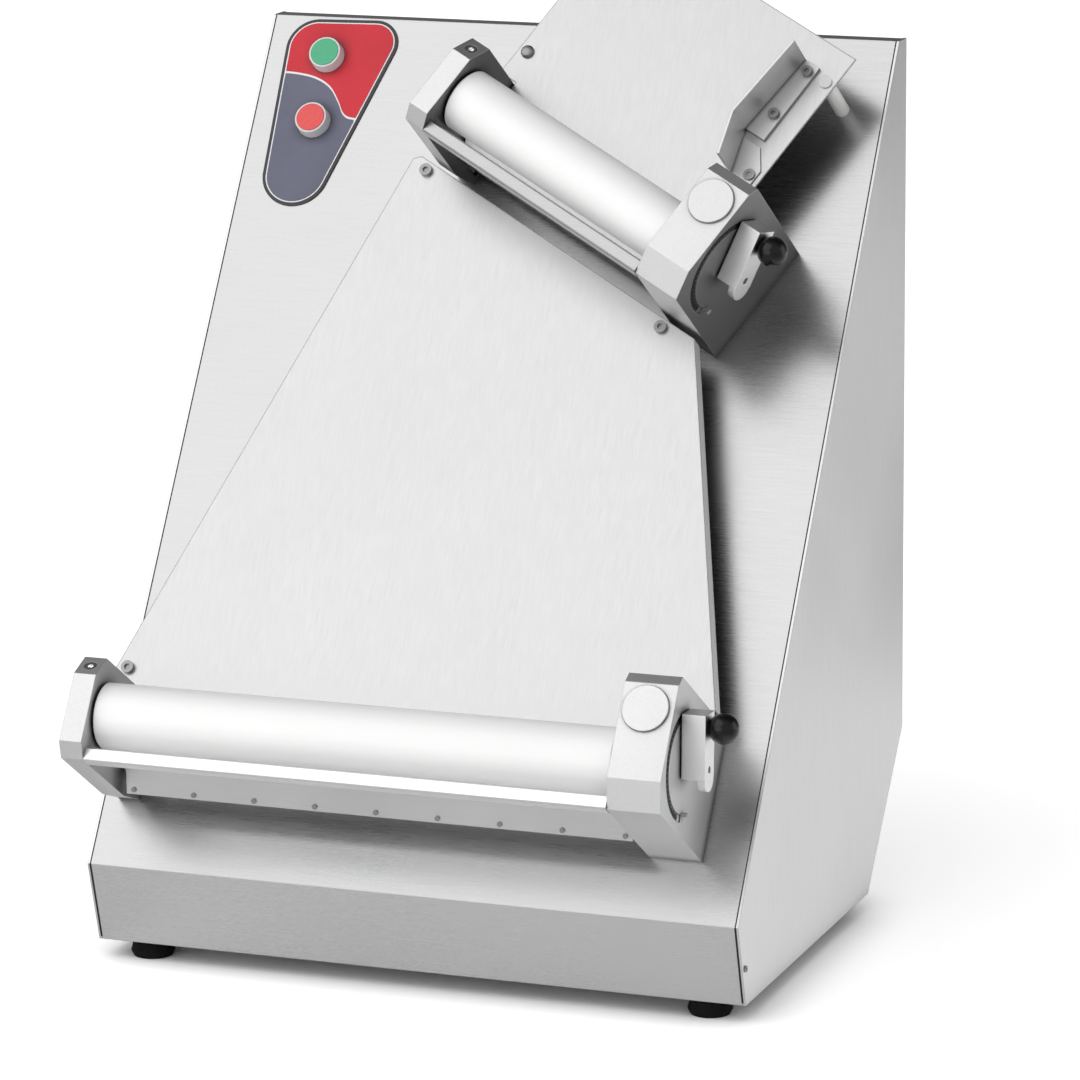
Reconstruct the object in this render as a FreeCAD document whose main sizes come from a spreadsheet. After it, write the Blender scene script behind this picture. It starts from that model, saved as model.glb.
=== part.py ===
"""Bench-top two-stage dough sheeter: sloping steel case, upper and lower roller stages, slide, chute and drive.

Case frame: X to the machine's left-to-right, Y towards its back, Z up, with the case's lower edge at Z = 0.
Panel frame: X as before, Y up the sloping panel, Z straight out of it, with the origin on the front fold.
Stage frame: X along the rollers from the left cheek's inner face, Y up the slope, Z out of the panel.
"""

import FreeCAD, Part
import math
import os
from types import SimpleNamespace

import Sketcher
from FreeCAD import Placement, Rotation, Vector

DIMENSIONS = {
    # case
    "case_width": 520.0,
    "case_height": 660.2,
    "fold_height": 64.4,
    "front_lean": 17.7,
    "panel_slope": 56.74486,
    "top_front": 390.7,
    "top_back": 409.9,
    "rear_bend_height": 112.4,
    "base_back": 319.9,
    "sheet": 1.5,
    "side_sheet": 2.5,
    "lip": 50.0,
    "foot_height": 15.0,
    "foot_radius": 17.0,
    "origin_right": 1.5,
    "origin_back": 170.26,
    # stages
    "lower_gap": 411.5,
    "upper_gap": 218.0,
    "lower_left": -228.5,
    "upper_left": -87.7,
    "upper_rise": 527.3,
    "upper_turn": 29.0,
    "cheek_thickness": 18.0,
    "housing_width": 41.0,
    "stage_bottom": 47.0,
    "stage_front": 124.0,
    "inner_wall": 7.0,
    "outer_wall": 5.0,
    "front_wall": 2.2,
    "roller_radius": 25.0,
    "roller_rise": 89.5,
    "front_roller_out": 93.3,
    "roller_gap": 0.8,
    "roller_end_gap": 1.5,
    "shaft_radius": 10.0,
    "journal_radius": 7.5,
    "running_clearance": 0.05,
    "bush_radius": 11.0,
    "gear_module": 2.5,
    "gear_tip": 27.8,
    "gear_root": 22.3,
    "gear_start": 9.5,
    "gear_width": 8.0,
    "belt_plane": 23.7,
    "belt_pitch": 17.0,
    "belt_cord": 2.9,
    "sheave_radius": 20.0,
    "belt_groove": 3.3,
    "plate_start": 30.1,
    "plate_thickness": 5.7,
    "tie_rod_radius": 3.5,
    "carriage_travel": 3.5,
    "pivot_rise": 95.0,
    "pivot_out": 79.5,
    "cam_low": 13.0,
    "cam_shaft": 6.0,
    "lever_angle": 31.0,
    "lever_travel": 150.0,
    "lever_length": 40.5,
    "lever_width": 20.0,
    "lever_start": 1.0,
    "lever_thickness": 18.0,
    "lever_plate": 6.0,
    "index_radius": 38.0,
    "knob_radius": 11.5,
    "knob_out": 29.5,
    "knob_along": 30.0,
    # slide and chute
    "slide_height": 40.0,
    "slide_sheet": 1.2,
    "slide_flange": 14.0,
    "chute_height": 50.0,
    "chute_top": 288.5,
    "chute_left": -15.6,
    "chute_right": 220.5,
    # controls
    "button_left": -205.5,
    "start_rise": 677.2,
    "stop_rise": 620.5,
    "bezel_radius": 13.7,
    "bezel_height": 9.0,
    "cap_radius": 11.4,
    "stem_radius": 9.5,
    "barrel_radius": 11.0,
    # drive
    "motor_behind": 110.0,
    "layshaft_behind": 100.0,
    "motor_radius": 55.0,
    "riser_offset": 12.5,
}

GEAR_TEETH = 20
PRESSURE_ANGLE = math.radians(25)
BACKLASH_HALF = 0.15
INDEX_HOLES = 24
CAM_POINTS = 48


class Size:
    """A number together with the spreadsheet formula that yields it."""

    def __init__(self, value, formula):
        self.value = float(value)
        self.formula = formula

    def _joined(self, other, value, sign, swap=False):
        first, second = (formula_of(other), self.formula) if swap else (self.formula, formula_of(other))
        return Size(value, f"({first} {sign} {second})")

    def __add__(self, other):
        return self._joined(other, self.value + value_of(other), "+")

    def __radd__(self, other):
        return self._joined(other, self.value + value_of(other), "+", swap=True)

    def __sub__(self, other):
        return self._joined(other, self.value - value_of(other), "-")

    def __rsub__(self, other):
        return self._joined(other, value_of(other) - self.value, "-", swap=True)

    def __mul__(self, other):
        return self._joined(other, self.value * value_of(other), "*")

    def __rmul__(self, other):
        return self._joined(other, self.value * value_of(other), "*", swap=True)

    def __truediv__(self, other):
        return self._joined(other, self.value / value_of(other), "/")

    def __neg__(self):
        return Size(-self.value, f"(-1 * {self.formula})")


def value_of(size):
    return size.value if isinstance(size, Size) else float(size)


def formula_of(size):
    return size.formula if isinstance(size, Size) else repr(float(size))


def cos_of(angle):
    return Size(math.cos(math.radians(angle.value)), f"cos({angle.formula})")


def sin_of(angle):
    return Size(math.sin(math.radians(angle.value)), f"sin({angle.formula})")


DOC = FreeCAD.newDocument("dough_sheeter")
NODES = []
CUTS = []


def fill_sheet():
    """Write every driving dimension into the spreadsheet, and give each one back as a Size."""
    sheet = DOC.addObject("Spreadsheet::Sheet", "Dimensions")
    sizes = {}
    for row, (alias, number) in enumerate(DIMENSIONS.items(), start=1):
        sheet.set(f"A{row}", alias.replace("_", " "))
        sheet.set(f"B{row}", str(number))
        sheet.setAlias(f"B{row}", alias)
        sizes[alias] = Size(number, f"Dimensions.{alias}")
    return SimpleNamespace(**sizes)


D = fill_sheet()
DOC.recompute()


# --- building blocks ---------------------------------------------------------------------------------

def bind(feature, name, size):
    """Set a property, and drive it from the sheet if its size comes from there."""
    setattr_path(feature, name, value_of(size))
    if isinstance(size, Size):
        feature.setExpression(name, size.formula)


def setattr_path(feature, name, value):
    if name == "AttachmentOffset.Base.z":
        offset = feature.AttachmentOffset
        offset.Base.z = value
        feature.AttachmentOffset = offset
    else:
        setattr(feature, name, value)


def keep(node, label, placement):
    """Name a finished sub-part, place it, and list it for export."""
    node.Label = label
    node.Placement = placement
    NODES.append(node)
    return node


def new_body(label, placement):
    body = DOC.addObject("PartDesign::Body", label)
    return keep(body, label, placement)


def origin_plane(body, role):
    return next(plane for plane in body.Origin.OriginFeatures if plane.Role == role)


def new_sketch(body, plane, offset=0.0):
    """An empty sketch on one of the body's origin planes, moved along the plane's normal."""
    sketch = body.newObject("Sketcher::SketchObject", "Sketch")
    sketch.AttachmentSupport = [(origin_plane(body, plane), "")]
    sketch.MapMode = "FlatFace"
    bind(sketch, "AttachmentOffset.Base.z", offset)
    return sketch


def tilted_sketch(body, plane, placement):
    """An empty sketch on an origin plane, moved and turned by a placement in the plane's own axes."""
    sketch = body.newObject("Sketcher::SketchObject", "Sketch")
    sketch.AttachmentSupport = [(origin_plane(body, plane), "")]
    sketch.MapMode = "FlatFace"
    sketch.AttachmentOffset = placement
    return sketch


def pin_point(sketch, geometry, point_kind, point):
    """Fix one point of a sketch by its two distances from the sketch's origin."""
    for direction, axis, size in (("DistanceX", -2, point[0]), ("DistanceY", -1, point[1])):
        number = value_of(size)
        if number == 0.0:
            sketch.addConstraint(Sketcher.Constraint("PointOnObject", geometry, point_kind, axis))
            continue
        index = sketch.addConstraint(Sketcher.Constraint(direction, -1, 1, geometry, point_kind, number))
        if isinstance(size, Size):
            sketch.setExpression(f"Constraints[{index}]", size.formula)


def draw_polygon(sketch, points):
    corners = [Vector(value_of(x), value_of(y), 0) for x, y in points]
    first = sketch.GeometryCount
    count = len(corners)
    for i, corner in enumerate(corners):
        sketch.addGeometry(Part.LineSegment(corner, corners[(i + 1) % count]), False)
    for i in range(count):
        joint = Sketcher.Constraint("Coincident", first + i, 2, first + (i + 1) % count, 1)
        sketch.addConstraint(joint)
    for i, point in enumerate(points):
        pin_point(sketch, first + i, 1, point)
    return sketch


def draw_circle(sketch, centre, radius):
    middle = Vector(value_of(centre[0]), value_of(centre[1]), 0)
    geometry = sketch.addGeometry(Part.Circle(middle, Vector(0, 0, 1), value_of(radius)), False)
    pin_point(sketch, geometry, 3, centre)
    index = sketch.addConstraint(Sketcher.Constraint("Radius", geometry, value_of(radius)))
    if isinstance(radius, Size):
        sketch.setExpression(f"Constraints[{index}]", radius.formula)
    return sketch


def box_points(x0, y0, x1, y1):
    return [(x0, y0), (x1, y0), (x1, y1), (x0, y1)]


def pad(body, sketch, length):
    """Add material from the sketch's plane along its normal."""
    feature = body.newObject("PartDesign::Pad", "Pad")
    feature.Profile = sketch
    bind(feature, "Length", length)
    return feature


def cut(body, sketch, length):
    """Remove material from the sketch's plane along its normal."""
    feature = body.newObject("PartDesign::Pocket", "Pocket")
    feature.Profile = sketch
    feature.Reversed = True
    bind(feature, "Length", length)
    CUTS.append(feature)
    return feature


def pad_polygon(body, plane, start, length, points):
    return pad(body, draw_polygon(new_sketch(body, plane, start), points), length)


def cut_polygon(body, plane, start, length, points):
    return cut(body, draw_polygon(new_sketch(body, plane, start), points), length)


def pad_disc(body, plane, start, length, radius, centre=(0.0, 0.0)):
    return pad(body, draw_circle(new_sketch(body, plane, start), centre, radius), length)


def cut_disc(body, plane, start, length, radius, centre=(0.0, 0.0)):
    return cut(body, draw_circle(new_sketch(body, plane, start), centre, radius), length)


def turned(label, placement, plane, steps, bore=None):
    """A stack of round steps (start, length, radius) on one axis, with an optional through bore."""
    body = new_body(label, placement)
    for start, length, radius in steps:
        pad_disc(body, plane, start, length, radius)
    if bore is not None:
        starts = [value_of(step[0]) for step in steps]
        ends = [value_of(step[0]) + value_of(step[1]) for step in steps]
        cut_disc(body, plane, min(starts) - 1, max(ends) - min(starts) + 2, bore)
    return body


def hollow_out(body, base, open_side):
    """Leave a sheet-thick shell, without the faces that open_side picks."""
    DOC.recompute()
    faces = base.Shape.Faces
    names = [f"Face{i}" for i, face in enumerate(faces, start=1) if open_side(face)]
    shell = body.newObject("PartDesign::Thickness", "Thickness")
    shell.Base = (base, names)
    shell.Reversed = True
    return shell


def polar_copies(body, feature, sketch, angle, count):
    pattern = body.newObject("PartDesign::PolarPattern", "PolarPattern")
    pattern.Originals = [feature]
    pattern.Axis = (sketch, ["N_Axis"])
    pattern.Angle = angle
    pattern.Occurrences = count
    body.Tip = pattern
    return pattern


def row_copies(body, feature, sketch, axis, length, count):
    pattern = body.newObject("PartDesign::LinearPattern", "LinearPattern")
    pattern.Originals = [feature]
    pattern.Direction = (sketch, [axis])
    pattern.Length = length
    pattern.Occurrences = count
    body.Tip = pattern
    return pattern


def cylinder(placement, radius, height):
    shape = DOC.addObject("Part::Cylinder", "Cylinder")
    bind(shape, "Radius", radius)
    bind(shape, "Height", height)
    shape.Placement = placement
    return shape


def cone(placement, radius, top_radius, height):
    shape = DOC.addObject("Part::Cone", "Cone")
    bind(shape, "Radius1", radius)
    bind(shape, "Radius2", top_radius)
    bind(shape, "Height", height)
    shape.Placement = placement
    return shape


def fused(shapes):
    union = DOC.addObject("Part::MultiFuse", "Fusion")
    union.Shapes = shapes
    return union


def difference(base, tool):
    result = DOC.addObject("Part::Cut", "Cut")
    result.Base = base
    result.Tool = tool
    return result


def group(label, shapes):
    """Separate solids of one kind under one name."""
    node = DOC.addObject("Part::Compound", label)
    node.Links = shapes
    return keep(node, label, Placement())


def at(frame, x=0.0, y=0.0, z=0.0, rotation=None):
    """A placement inside another frame."""
    spot = Vector(value_of(x), value_of(y), value_of(z))
    return frame.multiply(Placement(spot, rotation or Rotation()))


def screw(placement, head_radius, head_height, shank_radius, shank_length):
    """A screw with its head's seat at the origin and its shank towards -Z, with a hexagon socket."""
    head = cylinder(placement, head_radius, head_height)
    shank = cylinder(at(placement, z=-shank_length), shank_radius, shank_length)
    socket = DOC.addObject("Part::Prism", "Socket")
    socket.Polygon = 6
    socket.Circumradius = head_radius * 0.5
    socket.Height = head_height
    socket.Placement = at(placement, z=head_height * 0.45)
    return difference(fused([head, shank]), socket)


# --- frames --------------------------------------------------------------------------------------------

CASE = Placement(
    Vector(-D.origin_right.value, -D.origin_back.value, D.foot_height.value), Rotation()
)
PANEL = at(CASE, z=D.fold_height, rotation=Rotation(Vector(1, 0, 0), D.panel_slope.value))


def make_stage(name, gap, left, rise, turn):
    """One roller pair's names, inner width and frame on the panel."""
    frame = at(PANEL, left, rise, 0, Rotation(Vector(0, 0, 1), -value_of(turn)))
    return SimpleNamespace(name=name, gap=gap, frame=frame)


LOWER = make_stage("lower", D.lower_gap, D.lower_left, 0.0, 0.0)
UPPER = make_stage("upper", D.upper_gap, D.upper_left, D.upper_rise, D.upper_turn)
STAGES = (LOWER, UPPER)

REAR_ROLLER_OUT = D.front_roller_out - 2 * D.roller_radius - D.roller_gap


def front_axis(stage):
    return at(stage.frame, 0, D.roller_rise, D.front_roller_out)


def rear_axis(stage):
    return at(stage.frame, 0, D.roller_rise, REAR_ROLLER_OUT)


def pivot_axis(stage):
    return at(stage.frame, stage.gap + D.housing_width, D.pivot_rise, D.pivot_out)


def lever_frame(stage):
    """X out of the housing, Y along the lever, Z towards its front face."""
    return at(pivot_axis(stage), rotation=Rotation(Vector(1, 0, 0), D.lever_angle.value))


# --- case ------------------------------------------------------------------------------------------------

def to_panel(y, z):
    """A case point (Y, Z) in the panel frame (Y, Z)."""
    rise = z - D.fold_height
    along = y * cos_of(D.panel_slope) + rise * sin_of(D.panel_slope)
    out = rise * cos_of(D.panel_slope) - y * sin_of(D.panel_slope)
    return along, out


def case_half_width():
    return D.case_width / 2 - D.side_sheet - 0.1


def front_panel():
    """Front face, sloping panel, top strip and bottom lip in one folded sheet with side flanges."""
    body = new_body("front_panel", PANEL)
    outline = [
        to_panel(D.front_lean, 0.0),
        (0.0, 0.0),
        ((D.case_height - D.fold_height) / sin_of(D.panel_slope), 0.0),
        to_panel(D.top_front + 2.5, D.case_height),
        to_panel(D.front_lean + D.lip, 0.0),
    ]
    half = case_half_width()
    base = pad_polygon(body, "YZ_Plane", -half, 2 * half, outline)
    shell = hollow_out(body, base, looks_inside)
    bind(shell, "Value", D.sheet)
    strip = [
        to_panel(D.top_front + 1.0, D.case_height),
        to_panel(D.top_back - 3.0, D.case_height),
        to_panel(D.top_back - 3.0, D.case_height - D.sheet),
        to_panel(D.top_front + 1.0, D.case_height - D.sheet),
    ]
    pad_polygon(body, "YZ_Plane", -half, 2 * half, strip)
    cut_disc(body, "YZ_Plane", -half - 1.0, 2 * half + 2.0, 1.7, to_panel(*SIDE_SCREW))
    for x in LIP_SCREWS:
        local = PANEL.inverse().multiply(at(CASE, x, D.front_lean + 30.0, -1.0))
        cut(body, draw_circle(tilted_sketch(body, "XY_Plane", local), (0.0, 0.0), 1.7), 4.0)
    for stage, half_slot in ((LOWER, 6.5), (UPPER, 10.0)):
        cut_belt_slot(body, stage, half_slot)
    for rise in (D.start_rise, D.stop_rise):
        cut_disc(body, "XY_Plane", -6.0, 8.0, D.barrel_radius + 0.1, (D.button_left, rise))
    for x, y in SLIDE_SCREWS:
        cut_disc(body, "XY_Plane", -6.0, 8.0, 2.6, (x, y))
    return body


SIDE_SCREW = (15.8, 29.0)
BACK_SCREWS = [(x, z) for x in (-246.0, 246.0) for z in (140.0, 390.0, 640.0)]
LIP_SCREWS = [-80.0, 80.0]


def looks_inside(face):
    """True for the panel's one long face that looks back into the case."""
    normal = face.normalAt(0, 0)
    return abs(normal.x) < 0.1 and normal.z < -0.9


def cut_belt_slot(body, stage, half_width):
    """A slot under a gear housing for the belt, in the stage's own direction."""
    local = PANEL.inverse().multiply(stage.frame)
    sketch = tilted_sketch(body, "XY_Plane", at(local, z=-6.0))
    middle = stage.gap + D.belt_plane
    reach = D.belt_pitch + 6.5
    corners = box_points(
        middle - half_width, D.roller_rise - reach, middle + half_width, D.roller_rise + reach
    )
    cut(body, draw_polygon(sketch, corners), 8.0)


def side_outline():
    """The case seen from the side."""
    return [
        (D.front_lean, 0.0),
        (0.0, D.fold_height),
        (D.top_front, D.case_height),
        (D.top_back, D.case_height),
        (D.top_back, D.rear_bend_height),
        (D.base_back, 0.0),
    ]


def side_panel(label, start):
    body = new_body(label, CASE)
    pad_polygon(body, "YZ_Plane", start, D.side_sheet, side_outline())
    cut_disc(body, "YZ_Plane", start - 1.0, D.side_sheet + 2.0, 1.7, SIDE_SCREW)
    return body


def rear_panel():
    """Upright back, sloping lower back and bottom lip in one folded sheet, with vent slots."""
    body = new_body("rear_panel", CASE)
    outline = [
        (D.top_back, D.case_height - 2.0),
        (D.top_back, D.rear_bend_height),
        (D.base_back, 0.0),
        (D.base_back - D.lip, 0.0),
        (D.top_back - 16.0, D.case_height - 40.0),
        (D.top_back - 16.0, D.case_height - 2.0),
    ]
    half = case_half_width()
    base = pad_polygon(body, "YZ_Plane", -half, 2 * half, outline)
    shell = hollow_out(body, base, looks_forward)
    bind(shell, "Value", D.sheet)
    for bank in (-1, 1):
        sketch = new_sketch(body, "XZ_Plane", -D.top_back - 2.0)
        draw_polygon(sketch, box_points(bank * 120 - 70.0, 200.0, bank * 120 + 70.0, 206.0))
        slot = cut(body, sketch, 6.0)
        row_copies(body, slot, sketch, "V_Axis", 126.0, 8)
    cut_polygon(body, "XZ_Plane", -D.top_back - 2.0, 6.0, box_points(-214.0, 150.0, -186.0, 171.0))
    for spot in BACK_SCREWS:
        cut_disc(body, "XZ_Plane", -D.top_back - 2.0, 6.0, 1.7, spot)
    return body


def looks_forward(face):
    normal = face.normalAt(0, 0)
    return abs(normal.x) < 0.1 and normal.y < -0.9


def base_plate():
    """Floor of the case, resting on both lips."""
    body = new_body("base_plate", CASE)
    half = case_half_width() - 2.0
    corners = box_points(-half, D.front_lean + 5.0, half, D.base_back - 8.0)
    pad_polygon(body, "XY_Plane", D.sheet, 2.0, corners)
    for x, y in foot_spots():
        cut_disc(body, "XY_Plane", 0.0, 5.0, 3.1, (x, y))
    for x in LIP_SCREWS:
        cut_disc(body, "XY_Plane", 0.0, 5.0, 1.7, (x, D.front_lean + 30.0))
    return body


def foot_spots():
    side = D.case_width / 2 - 35.0
    return [(x, y) for x in (-side, side) for y in (D.front_lean + 22.0, D.base_back - 24.0)]


def rubber_feet():
    feet = []
    for x, y in foot_spots():
        low = at(CASE, x, y, -D.foot_height)
        pad_part = cone(low, D.foot_radius - 2.0, D.foot_radius, 4.0)
        body_part = cone(at(low, z=4.0), D.foot_radius, D.foot_radius - 3.0, D.foot_height - 4.0)
        feet.append(fused([pad_part, body_part]))
    return group("rubber_feet", feet)


def control_plate():
    """Rounded triangular plate behind the two buttons."""
    body = new_body("control_plate", PANEL)
    discs = [((-211.5, 576.0), 28.0), ((-170.0, 689.5), 21.0), ((-218.0, 684.5), 25.0)]
    outline = []
    for i, (centre, radius) in enumerate(discs):
        far_centre, far_radius = discs[(i + 1) % len(discs)]
        outline += outer_tangent(centre, radius, far_centre, far_radius)
    pad_polygon(body, "XY_Plane", 0.0, 1.0, outline)
    for centre, radius in discs:
        pad_disc(body, "XY_Plane", 0.0, 1.0, radius, centre)
    for rise in (D.start_rise, D.stop_rise):
        cut_disc(body, "XY_Plane", -1.0, 3.0, D.barrel_radius + 0.1, (D.button_left, rise))
    return body


def outer_tangent(centre, radius, far_centre, far_radius):
    """Where the outer tangent of two discs, taken anticlockwise, touches each of them."""
    run = Vector(far_centre[0] - centre[0], far_centre[1] - centre[1], 0)
    along = math.atan2(run.y, run.x)
    away = along - math.acos((radius - far_radius) / run.Length)
    normal = (math.cos(away), math.sin(away))
    near = (centre[0] + radius * normal[0], centre[1] + radius * normal[1])
    far = (far_centre[0] + far_radius * normal[0], far_centre[1] + far_radius * normal[1])
    return [near, far]


def button_spots():
    return [at(PANEL, D.button_left, rise, 1.0) for rise in (D.start_rise, D.stop_rise)]


def button_bezels():
    """Round rim in front of the plate, threaded barrel through it and nut behind, for each button."""
    bezels = []
    for spot in button_spots():
        rim = cone(spot, D.bezel_radius, D.bezel_radius - 0.8, D.bezel_height)
        barrel = cylinder(at(spot, z=-12.0), D.barrel_radius, 12.0)
        nut = cylinder(at(spot, z=-7.0), 14.0, 4.5)
        bore = cylinder(at(spot, z=-13.0), D.stem_radius + 0.1, 13.0 + D.bezel_height)
        seat = cylinder(at(spot, z=1.2), D.cap_radius + 0.1, D.bezel_height)
        bezels.append(difference(difference(fused([rim, barrel, nut]), bore), seat))
    return group("button_bezels", bezels)


def button_cap(label, spot):
    head = D.bezel_height - 3.6
    steps = [(head, 4.1, D.cap_radius), (-7.5, 7.6 + head, D.stem_radius), (-12.0, 5.0, 3.0)]
    return turned(label, spot, "XY_Plane", steps)


def switch_blocks():
    """Contact blocks behind the buttons, with room for the stems to travel."""
    blocks = []
    for spot in button_spots():
        block = DOC.addObject("Part::Box", "Block")
        bind(block, "Length", 2 * D.barrel_radius + 4.0)
        bind(block, "Width", 2 * D.barrel_radius)
        bind(block, "Height", 17.0)
        block.Placement = at(spot, -D.barrel_radius - 2.0, -D.barrel_radius, -29.0)
        hole = cylinder(at(spot, z=-17.0), 6.0, 6.0)
        blocks.append(difference(block, hole))
    return group("switch_blocks", blocks)


def power_inlet():
    """Mains socket with its flange on the back."""
    body = new_body("power_inlet", CASE)
    back = -D.top_back
    pad_polygon(body, "XZ_Plane", back - 2.5, 2.5, box_points(-225.0, 148.0, -175.0, 173.0))
    pad_polygon(body, "XZ_Plane", back, 26.0, box_points(-213.5, 150.5, -186.5, 170.5))
    cut_polygon(body, "XZ_Plane", back - 3.0, 18.0, box_points(-211.0, 152.5, -189.0, 168.5))
    for x in (-206.0, -200.0, -194.0):
        pad_polygon(body, "XZ_Plane", back + 2.0, 14.0, box_points(x - 1, 158.0, x + 1, 162.5))
    return body


def casing_screws():
    """Small screws low on both sides, under the front lip and down both edges of the back."""
    half = D.case_width.value / 2
    screws = []
    for side in (-1, 1):
        turn = Rotation(Vector(0, 1, 0), side * 90)
        screws.append(screw(at(CASE, side * half, *SIDE_SCREW, turn), 2.5, 1.2, 1.6, 6.0))
    spots = []
    for x, z in BACK_SCREWS:
        spots.append(at(CASE, x, D.top_back, z, Rotation(Vector(1, 0, 0), -90)))
    for x in LIP_SCREWS:
        turn = Rotation(Vector(1, 0, 0), 180)
        spots.append(at(CASE, x, D.front_lean + 30.0, 0, turn))
    screws += [screw(spot, 3.5, 2.0, 1.6, 6.0) for spot in spots]
    return group("casing_screws", screws)


# --- slide and chute -------------------------------------------------------------------------------------

SLIDE_SCREWS = [(-86.0, 567.0), (128.0, 449.0), (-243.0, 145.2)]
CHUTE_PEGS = [(212.4, 261.0), (-7.4, 155.1)]
GUIDE_SCREWS = [(196.5, 259.5), (196.5, 218.0)]
GUIDE_END_SCREW = (211.0, 168.9)


def dough_slide():
    """Sheet that carries the dough from the upper rollers to the lower ones, with folded edges."""
    body = new_body("dough_slide", PANEL)
    right = D.lower_left + D.lower_gap
    outline = [
        (D.lower_left + 1.5, 116.6),
        (right - 1.5, 116.6),
        (right - 1.5, 151.0),
        (226.0, 151.0),
        (156.0, 441.5),
        (-92.0, 579.0),
        (-99.0, 577.0),
        (-258.3, 130.5),
        (D.lower_left + 1.5, 130.5),
    ]
    pad_polygon(body, "XY_Plane", D.slide_height - D.slide_sheet, D.slide_sheet, outline)
    for first, last in ((3, 4), (6, 7)):
        edge = folded_edge(outline[first], outline[last], D.slide_sheet.value)
        pad_polygon(body, "XY_Plane", D.slide_height - D.slide_flange, D.slide_flange, edge)
    for x, y in SLIDE_SCREWS:
        cut_disc(body, "XY_Plane", D.slide_height - 3.0, 6.0, 2.6, (x, y))
    return body


def folded_edge(start, end, sheet):
    """The footprint of a flange folded down along one edge, with the plate on the edge's left."""
    run = math.dist(start, end)
    inward = (-(end[1] - start[1]) / run * sheet, (end[0] - start[0]) / run * sheet)
    far = (end[0] + inward[0], end[1] + inward[1])
    near = (start[0] + inward[0], start[1] + inward[1])
    return [start, end, far, near]


def feed_chute():
    """Plate that leads the dough ball down to the upper rollers."""
    body = new_body("feed_chute", UPPER.frame)
    notch = D.upper_gap - 1.0
    outline = [
        (1.0, 117.0),
        (notch, 117.0),
        (notch, 151.0),
        (D.chute_right, 151.0),
        (D.chute_right, D.chute_top),
        (D.chute_left, D.chute_top),
        (D.chute_left, 130.0),
        (1.0, 130.0),
    ]
    pad_polygon(body, "XY_Plane", D.chute_height - D.sheet, D.sheet, outline)
    for x, y in CHUTE_PEGS:
        cut_disc(body, "XY_Plane", D.chute_height - 4.0, 8.0, 2.6, (x, y))
    for x, y in GUIDE_SCREWS + [GUIDE_END_SCREW]:
        cut_disc(body, "XY_Plane", D.chute_height - 4.0, 8.0, 2.1, (x, y))
    return body


def chute_guide():
    """Upright side guide with a kink, and the two feet that fasten it to the chute."""
    body = new_body("chute_guide", UPPER.frame)
    wall = [
        (195.6, 162.0),
        (182.4, 196.0),
        (186.4, 267.0),
        (188.6, 267.0),
        (184.6, 196.4),
        (197.6, 162.8),
    ]
    pad_polygon(body, "XY_Plane", D.chute_height, 36.0, wall)
    upper_foot = [(184.6, 197.0), (203.0, 197.0), (202.3, 267.0), (188.6, 267.0)]
    lower_foot = [(197.6, 162.8), (216.5, 162.8), (216.5, 176.0), (203.8, 191.0), (186.4, 191.6)]
    pad_polygon(body, "XY_Plane", D.chute_height, 3.0, upper_foot)
    pad_polygon(body, "XY_Plane", D.chute_height, 1.5, lower_foot)
    for x, y in GUIDE_SCREWS + [GUIDE_END_SCREW]:
        cut_disc(body, "XY_Plane", D.chute_height - 1.0, 8.0, 2.1, (x, y))
    return body


def chute_pegs():
    """Plastic distance pegs between the panel and the chute, with flat heads on top of the chute."""
    pegs = []
    for x, y in CHUTE_PEGS:
        spot = at(UPPER.frame, x, y, 0)
        stem = cylinder(spot, 5.75, D.chute_height - D.sheet)
        neck = cylinder(spot, 2.5, D.chute_height + 1.0)
        head = cylinder(at(spot, z=D.chute_height), 5.0, 1.6)
        pegs.append(fused([stem, neck, head]))
    return group("chute_pegs", pegs)


def plate_screws():
    """Screws and steel distance tubes of the slide, and the screws of the chute's guide."""
    solids = []
    for x, y in SLIDE_SCREWS:
        foot = at(PANEL, x, y, 0)
        tube = cylinder(foot, 6.0, D.slide_height - D.slide_sheet)
        solids.append(difference(tube, cylinder(foot, 2.6, 60.0)))
        solids.append(screw(at(foot, z=D.slide_height), 5.0, 3.2, 2.5, 46.0))
    for x, y in GUIDE_SCREWS:
        solids.append(screw(at(UPPER.frame, x, y, D.chute_height + 3.0), 4.1, 3.6, 2.0, 8.0))
    x, y = GUIDE_END_SCREW
    solids.append(screw(at(UPPER.frame, x, y, D.chute_height + 1.5), 4.4, 1.6, 2.0, 6.0))
    return group("plate_screws", solids)


# --- roller stages ---------------------------------------------------------------------------------------

def left_cheek(stage):
    """Solid end plate with the front bush's seat and a pocket for the sliding carriage."""
    body = new_body(f"{stage.name}_left_cheek", stage.frame)
    bottom = D.stage_bottom
    front = D.stage_front
    outline = [
        (bottom + 7.0, 0.0),
        (bottom, 30.0),
        (bottom + 0.4, front - 10.0),
        (bottom + 11.0, front),
        (bottom + 64.0, front),
        (bottom + 81.5, front - 13.0),
        (bottom + 81.5, 0.0),
    ]
    pad_polygon(body, "YZ_Plane", -D.cheek_thickness, D.cheek_thickness, outline)
    seat = (D.roller_rise, D.front_roller_out)
    cut_disc(body, "YZ_Plane", -12.0, 13.0, D.bush_radius, seat)
    pocket = [(58.8, 5.0), (70.5, 5.0), (104.0, 25.5), (104.0, 57.0), (75.0, 57.0), (58.8, 26.0)]
    cut_polygon(body, "YZ_Plane", -10.0, 11.0, pocket)
    for depth, radius in ((3.4, 4.9), (24.0, 2.6)):
        sketch = tilted_sketch(body, "XY_Plane", at(CHEEK_SCREW, z=-depth))
        cut(body, draw_circle(sketch, (0.0, 0.0), radius), depth + 1.0)
    for spot in CHEEK_FACE_SCREWS:
        cut_disc(body, "YZ_Plane", -D.cheek_thickness - 1.0, 7.2, 1.9, spot)
    return body


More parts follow.
